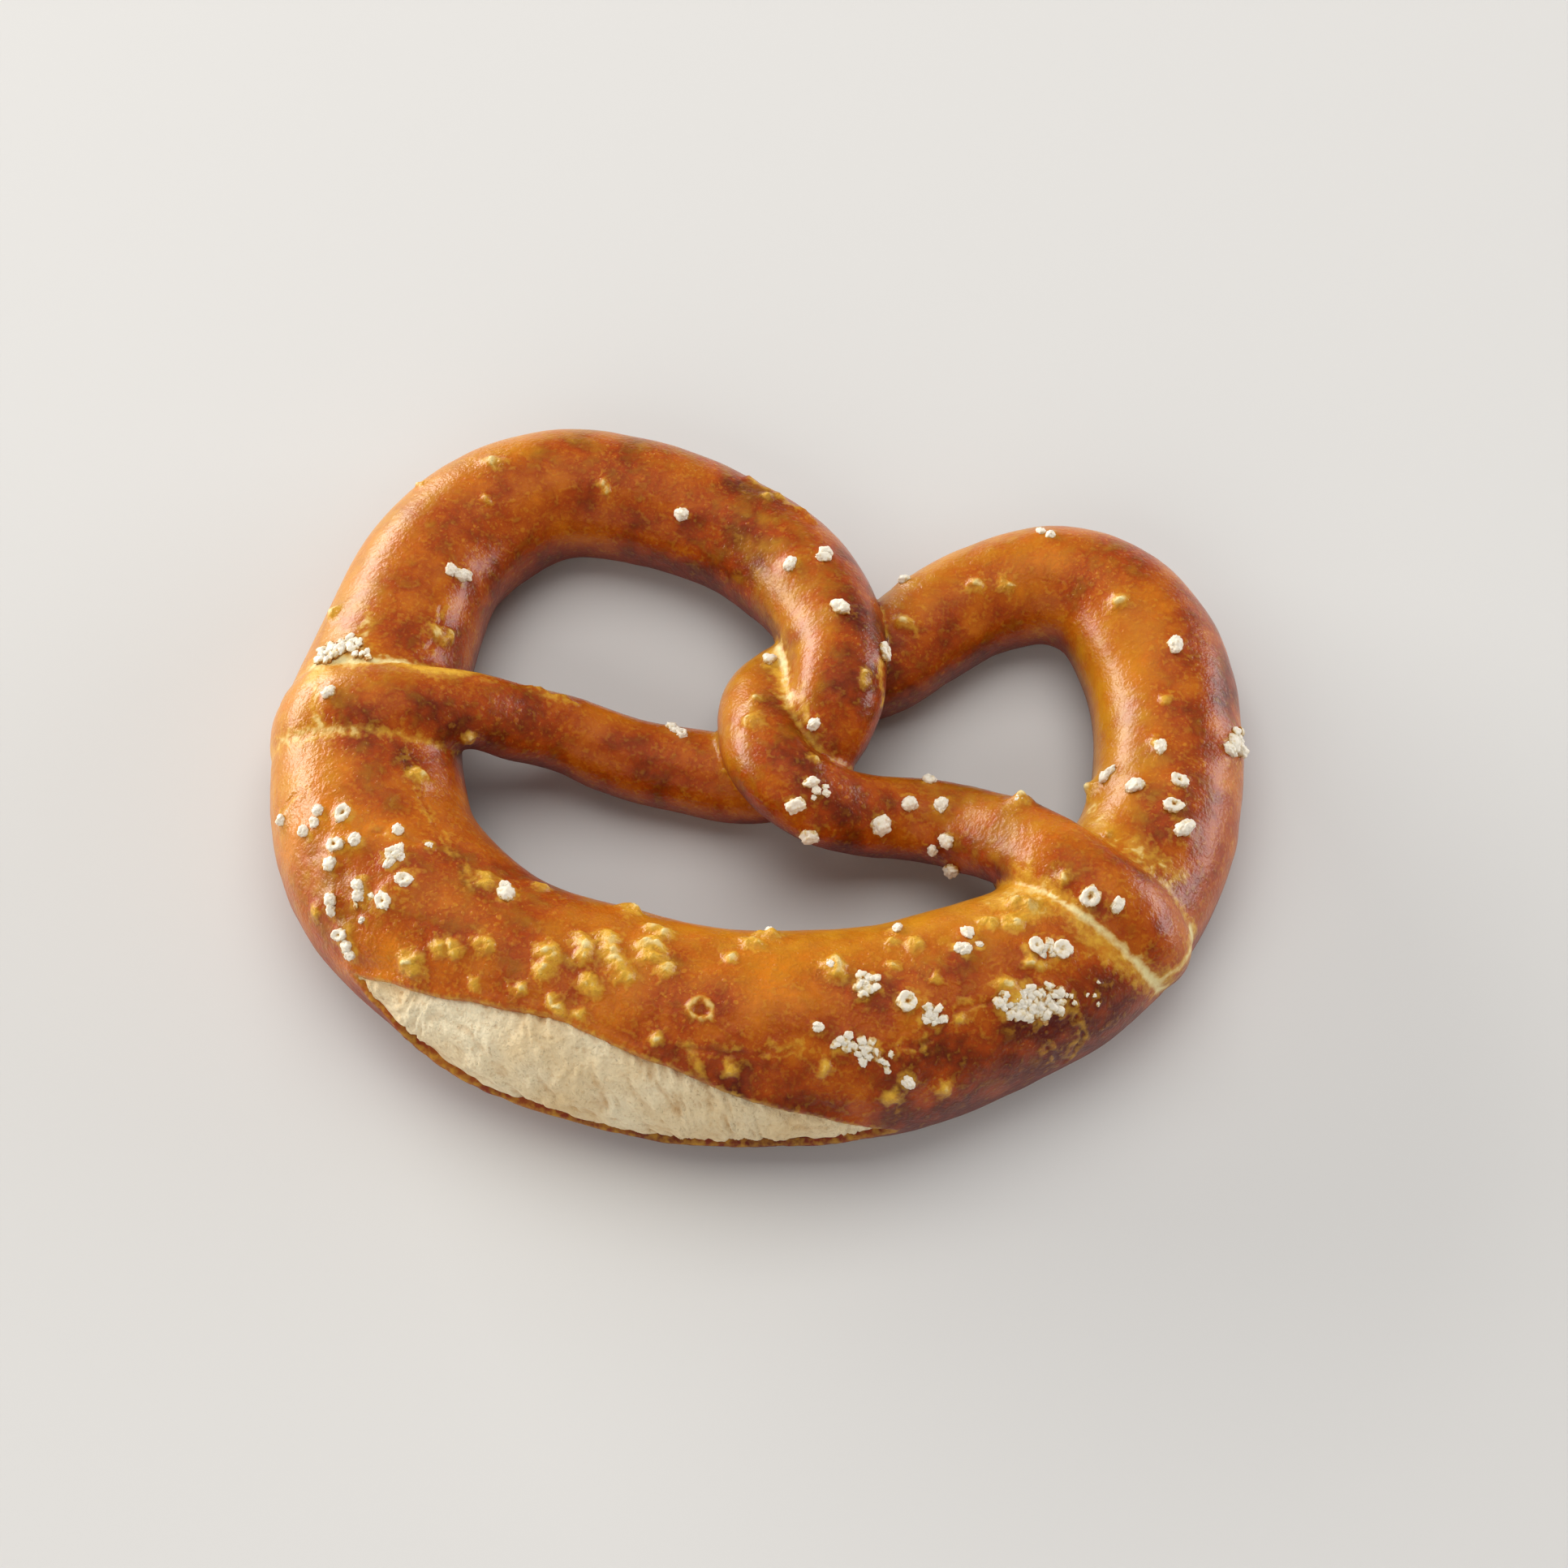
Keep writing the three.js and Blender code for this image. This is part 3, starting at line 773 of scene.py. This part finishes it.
# The hearts of the seams and stretch marks, and the tops of the pips.
pale = strongest(
    0.85 * broken(stretched, 2, 83),
    0.95 * right_front * seam_line * late,
    left_top * seam_line,
    0.8 * broken(left_top * landing_line, 4, 84),
    0.4 * left_front * seam_line,
    0.5 * right_top * crackle,
    0.4 * crotch * crackle,
    0.3 * stroke(wide, RIGHT_CROTCH, 3 * MM),
    0.7 * stroke(wide, RIGHT_TIP, 1.4 * MM),
    0.6 * stroke(ragged, LEFT_ARM_STRETCH, 0.8 * MM),
    0.5 * stroke(ragged, LEFT_LOOP_STRETCH, 0.9 * MM),
    0.8 * skin_pip**3 * smooth_step(0.4 + 1.5 * chunks),
    0.4 * cup_rim,
)
region = np.interp(skin_stop, *np.transpose(BAKED))
below_crack = smooth_step((62 - skin_turn) / 12) * smooth_step((skin_stop - 28.6) / 0.6)
below_crack *= smooth_step(34 - skin_stop)
# How squarely each point faces the left window, for painted light and painted shade.
painted_lit_side = skin_out @ LEFT_WINDOW_WAY
# Painted shade on faces that point down, which also get a duller finish.
shaded_underside = smooth_step((0.4 - skin_out[:, 2]) / 0.8)
# The bake by stop and its noise are the crust's own tone. Painted shade is added: darker in the cup's pit, in
# cracks, on the side away from the left window and on faces that point down. It is also darker on the belly's
# lower front below the crack.
bake_and_shade = region + 0.4 * below_crack + 0.1 * cup_pit + 0.1 * skin_crack + 0.12 * smooth_step(-painted_lit_side)
bake_and_shade += 0.25 * shaded_underside + 0.24 * skin_noise(16, 85) + 0.4 * skin_noise(5, 89)
strengths = {
    "bake_and_shade": np.clip(bake_and_shade, -0.3, 1),
    "gold": gold,
    "pale": pale,
    "painted_lit_side": smooth_step((painted_lit_side + 0.03) / 1.03) * (1.4 - region),
    "shaded_underside": shaded_underside,
    "grain": 0.4 + 0.1 * belly_top + 0.15 * skin_noise(9, 80) + 0.5 * skin_pip,
}
for name, values in strengths.items():
    store(skin_mesh, name, values)
print("stored", ", ".join(strengths))

# %% [markdown]
# ## The crumb in the burst
#
# Where the crust split, the soft crumb swelled out. It is matt, cream and torn
# into fine strands that run across the opening. Painting it onto the crust
# would give it the crust's gloss, so it is a pillow of its own, tucked under
# the lips on all sides.

# %% The crumb's pillow
CRUMB_ROWS = 300
CRUMB_COLUMNS = 72
TUCK = 1.6 * MM
CRUMB_DEPTH = 0.07
CRUMB_SWELL = 0.055
PILLOW_BASE = 0.8


def crumb_pillow():
    """A closed tube of rings across the burst.

    The top half of a ring runs from lip to lip on the skin * (1 - depth + swell * (1 - u^2)), and the
    other half comes back underneath.
    """
    stops = np.linspace(BURST_WIDEST - BURST_LEFT, BURST_WIDEST + BURST_RIGHT, CRUMB_ROWS)[:, None]
    middle, opening = burst_span(stops)
    half = section_at(stops)[4]
    u = np.linspace(-1, 1, CRUMB_COLUMNS)[None, :]
    tucked = opening + np.degrees(TUCK / half)
    top = rope_point(stops, middle + u * tucked, 1 - CRUMB_DEPTH + CRUMB_SWELL * (1 - u**2))
    base = rope_point(stops, middle - u[:, ::6] * tucked, PILLOW_BASE)
    return top, base, stops + 0 * u, middle + u * tucked


def torn(points, stops, degrees):
    """The relief of torn crumb: strands across the burst, soft lumps and small pores."""
    half, stop_length = section_at(stops)[4:]
    run, reach = stops * stop_length, np.radians(degrees) * half
    sway = 1.2 * soft_noise(points, 6 * MM, seed=90)
    along = np.stack([run / (1.9 * MM) + 0.2 * reach / MM + sway, reach / (4.5 * MM), 0 * run], axis=-1)
    strands = 0.34 * soft_noise(along, 1.0, seed=91) + 0.28 * soft_noise(along * 2.1, 1.0, seed=92)
    lumps = 0.35 * soft_noise(points, 3.4 * MM, seed=93) + 0.16 * soft_noise(points, 1.5 * MM, seed=95)
    pores = 0.35 * domes(points, 3.0 * MM, 0.8 * MM, seed=94)
    return MM * (strands + lumps - pores), strands + 0.5 * lumps - pores


crumb_top, crumb_base, crumb_stops, crumb_degrees = crumb_pillow()
crumb_out = unit(crumb_top - section_at(crumb_stops)[0])
crumb_relief, crumb_strands = torn(crumb_top, crumb_stops, crumb_degrees)
crumb_top = crumb_top + crumb_relief[..., None] * crumb_out
crumb_points = on_tray(np.concatenate([crumb_top, crumb_base], axis=1))
crumb_mesh = mesh_of("crumb", crumb_points, closed_grid_faces(*crumb_points.shape[:2]))
edge = np.abs(np.linspace(-1, 1, CRUMB_COLUMNS))[None, :]
# Toasted towards the lips, and darker between the strands as painted shade. The base underneath is at full
# strength.
toast_and_shade = smooth_step((edge - 0.7) / 0.3) - 1.2 * crumb_strands
store(crumb_mesh, "toast_and_shade", np.concatenate([toast_and_shade, np.ones(crumb_base.shape[:2])], axis=1))
print(f"the crumb has {len(crumb_mesh.polygons)} faces")

# %% [markdown]
# ## Grains of salt
#
# There are over two hundred grains, so a grain is one small ball of
# triangles, shaped by noise in its own way each time, and all grains of a kind
# are one mesh. A cupped grain is the same ball with a pit in its top.

# %% Grain shapes
SALT_GROWTH = 0.88
SALT_LIFT = 0.25
NOISE_STEP = 7.3
# Patches, subdivisions, lumpiness, pit, height, base toast and shade, and seed of a kind.
SALT_KINDS = {
    "whole_salt": (WHOLE_GRAINS, 4, 0.26, 0.0, 0.8, 0.4, 101),
    "cupped_salt": (CUPPED_GRAINS, 4, 0.22, 0.8, 0.75, 0.5, 102),
    "crumbled_salt": (CRUMBLED_GRAINS, 3, 0.5, 0.0, 0.62, 0.85, 103),
}


def ball(subdivisions):
    """Unit directions and triangles of an even ball."""
    shape = bmesh.new()
    bmesh.ops.create_icosphere(shape, subdivisions=subdivisions, radius=1)
    directions = np.array([v.co for v in shape.verts])
    triangles = np.array([[v.index for v in f.verts] for f in shape.faces])
    shape.free()
    return directions, triangles


def grain_axes(way_out, spin):
    """Three directions for each grain, the last one out of the skin, turned by its spin."""
    sideways = unit(np.cross(way_out, UP + 0.1))
    forwards = np.cross(way_out, sideways)
    first = np.cos(spin)[:, None] * sideways + np.sin(spin)[:, None] * forwards
    return np.stack([first, np.cross(way_out, first), way_out], axis=1)


def grain_mesh(name, patches, subdivisions, lumpiness, pit, height, toast_and_shade_base, seed):
    """All grains of a kind as one mesh.

    A grain's radius is 1 + lumpiness * noise, with a pit in its top and a rim round the pit. It is squashed
    to its height, turned, and set a little into the skin. Noise is read NOISE_STEP further on for each.
    """
    marks, sizes = spiral(patches)
    places, _, _, way_out, _ = settled(rope_point(marks[:, 0], marks[:, 1]))
    count = len(sizes)
    order = np.arange(count)[:, None, None] + np.array([0, 1000, 2000])[:, None] * np.array([1, 0, 0])
    spins, stretches, growths = (cell_draws(order, seed)[:, i] for i in range(3))
    directions, triangles = ball(subdivisions)
    own = directions[None] + NOISE_STEP * np.arange(count)[:, None, None]
    radius = 1 + lumpiness * soft_noise(own, 0.85, seed) + 0.6 * lumpiness * soft_noise(own, 0.4, seed + 1)
    radius = radius + 0.2 * domes(own, 0.5, 0.28, seed + 2) + 0.06 * soft_noise(own, 0.2, seed + 4)
    lean = np.arccos(np.clip(directions[:, 2], -1, 1)) + 0.12 * soft_noise(own, 0.9, seed + 3)
    radius = radius - pit * bell(lean, 0.52) + 0.22 * pit * bell(lean - 0.9, 0.3)
    stretch = np.stack([1 + 0.2 * stretches, 1 - 0.2 * stretches, np.full(count, height)], axis=-1)
    shaped = directions[None] * radius[..., None] * stretch[:, None]
    half_sizes = SALT_GROWTH * sizes * (1 + 0.12 * growths) / 2
    axes = grain_axes(way_out, math.pi * spins)
    placed = np.einsum("gpi,gij->gpj", shaped * half_sizes[:, None, None], axes)
    placed = placed + (places + SALT_LIFT * height * sizes[:, None] * way_out)[:, None]
    faces = (triangles[None] + (np.arange(count) * len(directions))[:, None, None]).reshape(-1, 3)
    mesh = mesh_of(name, placed, faces.tolist())
    # Cream and gold towards the grain's base and in its pit: partly the crust showing through, partly painted
    # shade.
    low = toast_and_shade_base - shaped[..., 2] / height
    toast_and_shade = low + 0.3 * growths[:, None] + 1.2 * pit * bell(lean, 0.4)
    store(mesh, "toast_and_shade", np.clip(toast_and_shade, 0, 1))
    return mesh


salt_meshes = {name: grain_mesh(name, *kind) for name, kind in SALT_KINDS.items()}
for name, mesh in salt_meshes.items():
    print(f"{name}: {len(mesh.polygons)} triangles")

# %% [markdown]
# ## Materials
#
# Three finishes show: glossy crust, matt crumb and dull salt. All of them are
# speckled, so the speckle is one node group, placed in each material at its own
# sizes. Nodes are wired by a small helper that sets plain values and links
# sockets alike.

# %% Node helpers
def linear(code):
    """A colour as the shader wants it, from its usual six-digit code."""
    parts = [int(code[i:i + 2], 16) / 255 for i in (0, 2, 4)]
    return [p / 12.92 if p <= 0.04045 else ((p + 0.055) / 1.055) ** 2.4 for p in parts] + [1.0]


def place(tree, kind, inputs=None, **settings):
    """Adds a node. An input given as a socket is linked, and anything else is set as its value."""
    node = tree.nodes.new(kind)
    for name, value in settings.items():
        setattr(node, name, value)
    for key, value in (inputs or {}).items():
        if isinstance(value, bpy.types.NodeSocket):
            tree.links.new(value, node.inputs[key])
        else:
            node.inputs[key].default_value = value
    return node


def scaled(tree, value, from_low, from_high, to_low=0.0, to_high=1.0):
    """A number carried from one range to another, and clamped."""
    ranges = {1: from_low, 2: from_high, 3: to_low, 4: to_high}
    return place(tree, "ShaderNodeMapRange", {0: value, **ranges}).outputs[0]


def maths(tree, operation, first, second):
    """One sum, product or the like of two numbers."""
    return place(tree, "ShaderNodeMath", {0: first, 1: second}, operation=operation).outputs[0]


def layered(tree, base, layers):
    """A base colour under layers. A layer grows from low to high of its strength, up to its most."""
    colour = linear(base)
    for strength, low, high, most, code in layers:
        inputs = {0: scaled(tree, strength, low, high, 0.0, most), 6: colour, 7: linear(code)}
        colour = place(tree, "ShaderNodeMix", inputs, data_type="RGBA").outputs[2]
    return colour


def strength_of(tree, name, *breaks):
    """A strength stored in the mesh. Each pair of a noise and a spread breaks its edges."""
    strength = place(tree, "ShaderNodeAttribute", attribute_name=name).outputs["Fac"]
    for noise, spread in breaks:
        strength = maths(tree, "ADD", strength, scaled(tree, noise, 0.3, 0.7, -spread, spread))
    return strength


def new_material(name, values):
    """A material, its node tree and its shader, with plain values on the shader's own sockets."""
    material = bpy.data.materials.new(name)
    material.use_nodes = True
    shader = material.node_tree.nodes["Principled BSDF"]
    for socket, value in values.items():
        shader.inputs[socket].default_value = value
    return material, material.node_tree, shader


def finish(tree, shader, colour, height, strength, depth):
    """Links the colour, and a bump of the given depth."""
    tree.links.new(colour, shader.inputs["Base Color"])
    bump = place(tree, "ShaderNodeBump", {"Strength": strength, "Distance": depth, "Height": height})
    tree.links.new(bump.outputs[0], shader.inputs["Normal"])


print("node helpers ready")

# %% The speckle group
CLOUD_SHARE = 0.16
DOT_PUSH = 1.2 * MM
DOT_HEIGHT = 0.35


def speckle_group():
    """Cloudy patches, fine flecks, ragged dots and a height, for a size in millimetres."""
    group = bpy.data.node_groups.new("speckle", "ShaderNodeTree")
    group.interface.new_socket("Size", in_out="INPUT", socket_type="NodeSocketFloat")
    given = group.nodes.new("NodeGroupInput")
    here = place(group, "ShaderNodeTexCoord").outputs["Object"]
    scale = maths(group, "DIVIDE", 1000.0, given.outputs["Size"])
    cloud_scale = maths(group, "MULTIPLY", scale, CLOUD_SHARE)
    clouds = place(group, "ShaderNodeTexNoise", {"Vector": here, "Scale": cloud_scale, "Detail": 4.0})
    flecks = place(group, "ShaderNodeTexNoise", {"Vector": here, "Scale": scale, "Detail": 2.0})
    push = place(group, "ShaderNodeVectorMath", {0: flecks.outputs[1], "Scale": DOT_PUSH}, operation="SCALE")
    pushed = place(group, "ShaderNodeVectorMath", {0: here, 1: push.outputs[0]}, operation="ADD")
    cells = place(group, "ShaderNodeTexVoronoi", {"Vector": pushed.outputs[0], "Scale": scale})
    size_draw = place(group, "ShaderNodeSeparateColor", {0: cells.outputs["Color"]}).outputs[0]
    reach = scaled(group, size_draw, 0.3, 1.0, 0.05, 0.42)
    dots = scaled(group, maths(group, "SUBTRACT", reach, cells.outputs["Distance"]), 0.0, 0.16)
    height = maths(group, "ADD", flecks.outputs[0], maths(group, "MULTIPLY", dots, DOT_HEIGHT))
    results = {"Clouds": clouds.outputs[0], "Flecks": flecks.outputs[0], "Dots": dots, "Height": height}
    for name in results:
        group.interface.new_socket(name, in_out="OUTPUT", socket_type="NodeSocketFloat")
    place(group, "NodeGroupOutput", results)
    return group


SPECKLE = speckle_group()


def speckled(tree, size):
    """The speckle group in a material, at a size in millimetres."""
    return place(tree, "ShaderNodeGroup", {"Size": size}, node_tree=SPECKLE).outputs


print("speckle group made")

# %% [markdown]
# The crust's colour starts as orange, and darkens with bake and with painted
# shade. On the side towards the left window it is painted amber, as painted
# light. Yellow flecks and specks show where it is less dark. Underneath it is
# painted redder, as painted shade, and it is duller there. It turns gold where
# it stretched and pale cream where it stretched last. A thin coat over the
# colour gives the sheen that the lye dip leaves.

# %% Crust
CRUST_SHINE = {"Specular IOR Level": 0.32, "Coat Weight": 0.15, "Coat Roughness": 0.25}
CRUST_GRAIN = 0.2 * MM


def crust_material():
    """Orange to brown by bake and painted shade, amber as painted light, then gold and pale, and flecked."""
    material, tree, shader = new_material("baked_crust", CRUST_SHINE)
    fine, middling, coarse = speckled(tree, 0.7), speckled(tree, 1.4), speckled(tree, 3.4)
    bake_breaks = [(coarse["Clouds"], 0.34), (coarse["Flecks"], 0.22), (middling["Flecks"], 0.17)]
    # Bake with its painted shade, broken by noise.
    baked_and_shaded = strength_of(tree, "bake_and_shade", *bake_breaks)
    lit_side_amber = strength_of(tree, "painted_lit_side", (coarse["Flecks"], 0.3))
    shaded_underside = strength_of(tree, "shaded_underside")
    golden = strength_of(tree, "gold", (middling["Flecks"], 0.25))
    pale = strength_of(tree, "pale", (middling["Flecks"], 0.2))
    less_baked_and_shaded = scaled(tree, baked_and_shaded, 0.3, 0.9, 1.0, 0.2)
    yellow = scaled(tree, maths(tree, "ADD", middling["Flecks"], fine["Flecks"]), 0.98, 1.25, 0.0, 0.5)
    patches = maths(tree, "MULTIPLY", less_baked_and_shaded, scaled(tree, coarse["Clouds"], 0.42, 0.6, 0.05, 0.6))
    specks = maths(tree, "ADD", middling["Dots"], fine["Dots"])
    colour = layered(tree, "ce7410", [
        (baked_and_shaded, -0.3, 0.5, 1.0, "a03e04"),
        (baked_and_shaded, 0.5, 1.15, 1.0, "541203"),
        # Painted light: amber on the side towards the left window.
        (lit_side_amber, 0.15, 1.0, 0.85, "cb8a17"),
        (maths(tree, "MULTIPLY", yellow, less_baked_and_shaded), 0.0, 1.0, 1.0, "cc7e14"),
        (maths(tree, "MULTIPLY", specks, patches), 0.0, 1.0, 1.0, "d08a20"),
        # Painted shade: redder underneath.
        (shaded_underside, 0.0, 1.0, 0.6, "681503"),
        (golden, 0.15, 0.9, 1.0, "daa532"),
        (pale, 0.25, 0.85, 1.0, "ecd99c"),
    ])
    gloss_patches = scaled(tree, coarse["Clouds"], 0.3, 0.7, 0.24, 0.34)
    roughness = maths(tree, "ADD", gloss_patches, scaled(tree, golden, 0.4, 1.0, 0.0, 0.2))
    roughness = maths(tree, "ADD", roughness, maths(tree, "MULTIPLY", shaded_underside, 0.3))
    tree.links.new(roughness, shader.inputs["Roughness"])
    height = maths(tree, "ADD", fine["Height"], maths(tree, "MULTIPLY", middling["Height"], 1.6))
    finish(tree, shader, colour, height, strength_of(tree, "grain"), CRUST_GRAIN)
    return material


crust = crust_material()
print("crust made")

# %% Crumb and salt
CRUMB_LOOK = {
    "Roughness": 0.85, "Subsurface Weight": 0.15,
    "Subsurface Radius": (1.6 * MM, 1.3 * MM, 1.0 * MM), "Subsurface Scale": 1.0,
}
CRUMB_GRAIN = 0.35 * MM
SALT_LOOK = {
    "Roughness": 0.5, "Subsurface Weight": 0.2,
    "Subsurface Radius": (0.6 * MM, 0.6 * MM, 0.6 * MM), "Subsurface Scale": 1.0,
}
SALT_GRAIN = 0.2 * MM


def crumb_material():
    """Cream, toasted a little near the lips, darker between the strands as painted shade, and with no gloss.
    """
    material, tree, shader = new_material("soft_crumb", CRUMB_LOOK)
    fine, coarse = speckled(tree, 0.7), speckled(tree, 2.6)
    colour = layered(tree, "eedebb", [
        (coarse["Clouds"], 0.35, 0.65, 1.0, "e5c999"),
        (fine["Flecks"], 0.55, 0.75, 0.4, "cca268"),
        (strength_of(tree, "toast_and_shade", (coarse["Flecks"], 0.2)), 0.2, 1.1, 0.85, "b9833f"),
    ])
    height = maths(tree, "ADD", fine["Height"], coarse["Height"])
    finish(tree, shader, colour, height, 1.0, CRUMB_GRAIN)
    return material


def salt_material():
    """White, cream and gold at its base and pit, partly painted shade, dull, and lit a little from inside."""
    material, tree, shader = new_material("coarse_salt", SALT_LOOK)
    fine = speckled(tree, 0.7)
    toasted_and_shaded = strength_of(tree, "toast_and_shade", (fine["Flecks"], 0.4))
    colour = layered(tree, "efe5d2", [
        (toasted_and_shaded, 0.1, 0.6, 1.0, "dac086"),
        (toasted_and_shaded, 0.45, 0.95, 1.0, "b37323"),
    ])
    finish(tree, shader, colour, fine["Height"], 0.7, SALT_GRAIN)
    return material


crumb = crumb_material()
salt = salt_material()
print("crumb and salt made")

# %% [markdown]
# ## Put the pieces in the scene
#
# Each mesh becomes an object at the origin, shaded smooth. The crust stands for
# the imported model's one solid, and every piece rides on its one body.

# %% Pieces
def show(name, mesh, material):
    """A piece of the pretzel: its object, material and body."""
    mesh.materials.clear()
    mesh.materials.append(material)
    mesh.shade_smooth()
    piece = in_scene(name, mesh)
    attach(piece, "root")
    return piece


crust_piece = show("crust", skin_mesh, crust)
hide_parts("pretzel")
show("crumb", crumb_mesh, crumb)
for name, mesh in salt_meshes.items():
    show(name, mesh, salt)
print("pieces in place")

# %% [markdown]
# ## Floor, light and camera
#
# The pretzel lies on a plain pale floor under soft studio light. A wide window
# low on the left draws the broad sheen on the loops and arms, and a weaker one
# on the right draws the thin one on the other side. A ceiling light and a front
# fill only brighten the shade: they are hidden from glossy rays, because a
# glossy brown crust under a bright ceiling looks milky. The camera looks down
# from just right of the front.

# %% Floor
FLOOR_SIDE = 4.0
floor_corners = FLOOR_SIDE / 2 * np.array([(-1, -1, 0), (1, -1, 0), (1, 1, 0), (-1, 1, 0)])
floor = in_scene("floor", mesh_of("floor", floor_corners, [(0, 1, 2, 3)]))
floor_paint, _, _ = new_material("pale_floor", {"Base Color": linear("dcdad7"), "Roughness": 0.85})
floor.data.materials.append(floor_paint)
print("floor laid")

# %% Lights
LIGHT_DISTANCE = 1.8
MIDDLE = (0, 0, 10 * MM)
ROOM_COLOUR = (0.98, 0.98, 1.0, 1.0)
ROOM_STRENGTH = 0.18
# Turn and rise in degrees, width, height, watts, colour, and whether the gloss
# shows it.
LIGHTS = {
    "left_window": (-72, 9, 1.9, 0.8, 48.0, (1.0, 0.98, 0.94), True),
    "right_window": (56, 9, 1.4, 0.75, 19.0, (0.97, 0.98, 1.0), True),
    "ceiling": (-20, 72, 1.8, 1.8, 22.0, (1.0, 0.99, 0.97), False),
    "front_fill": (190, 30, 1.8, 1.2, 11.0, (1.0, 0.98, 0.94), False),
}


def way_to(turn, rise):
    """The way at a rise over the floor and a turn from straight behind, towards the right."""
    turn, rise = math.radians(turn), math.radians(rise)
    return np.array([math.sin(turn) * math.cos(rise), math.cos(turn) * math.cos(rise), math.sin(rise)])


def aim(thing, place_from, place_to):
    """Puts a light or a camera at one place, and points its -Z to another."""
    thing.location = place_from
    thing.rotation_euler = (Vector(place_to) - thing.location).to_track_quat("-Z", "Y").to_euler()


for name, (turn, rise, width, height, watts, colour, in_gloss) in LIGHTS.items():
    lamp = bpy.data.lights.new(name, "AREA")
    lamp.shape = "RECTANGLE"
    lamp.size = width
    lamp.size_y = height
    lamp.energy = watts
    lamp.color = colour
    light = in_scene(name, lamp)
    light.visible_glossy = in_gloss
    aim(light, LIGHT_DISTANCE * way_to(turn, rise), MIDDLE)
world = bpy.data.worlds.new("room")
bpy.context.scene.world = world
world.use_nodes = True
world.node_tree.nodes["Background"].inputs["Color"].default_value = ROOM_COLOUR
world.node_tree.nodes["Background"].inputs["Strength"].default_value = ROOM_STRENGTH
bpy.context.scene.view_settings.view_transform = "Standard"
print(f"{len(LIGHTS)} lights and a dim room")

# %% Camera
LENS_MM = 70.0
SENSOR_MM = 36.0
CAMERA_TURN = 180 - 16.5
CAMERA_RISE = 61.0
CAMERA_DISTANCE = 546.6 * MM
AIM = np.array([-1.7, 7.3, 0.0]) * MM
IMAGE_SIDE = 1932
AIM_PIXEL = (930, 960)

lens = bpy.data.cameras.new("camera")
lens.lens = LENS_MM
lens.sensor_width = SENSOR_MM
lens.shift_x = (IMAGE_SIDE / 2 - AIM_PIXEL[0]) / IMAGE_SIDE
lens.shift_y = (AIM_PIXEL[1] - IMAGE_SIDE / 2) / IMAGE_SIDE
lens.clip_start = 10 * MM
camera = in_scene("camera", lens)
aim(camera, AIM + CAMERA_DISTANCE * way_to(CAMERA_TURN, CAMERA_RISE), AIM)
bpy.context.scene.camera = camera
print("camera at", [round(v, 3) for v in camera.location])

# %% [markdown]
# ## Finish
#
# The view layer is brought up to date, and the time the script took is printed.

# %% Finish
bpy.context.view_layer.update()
print(f"done in {time.time() - started:.1f} s")
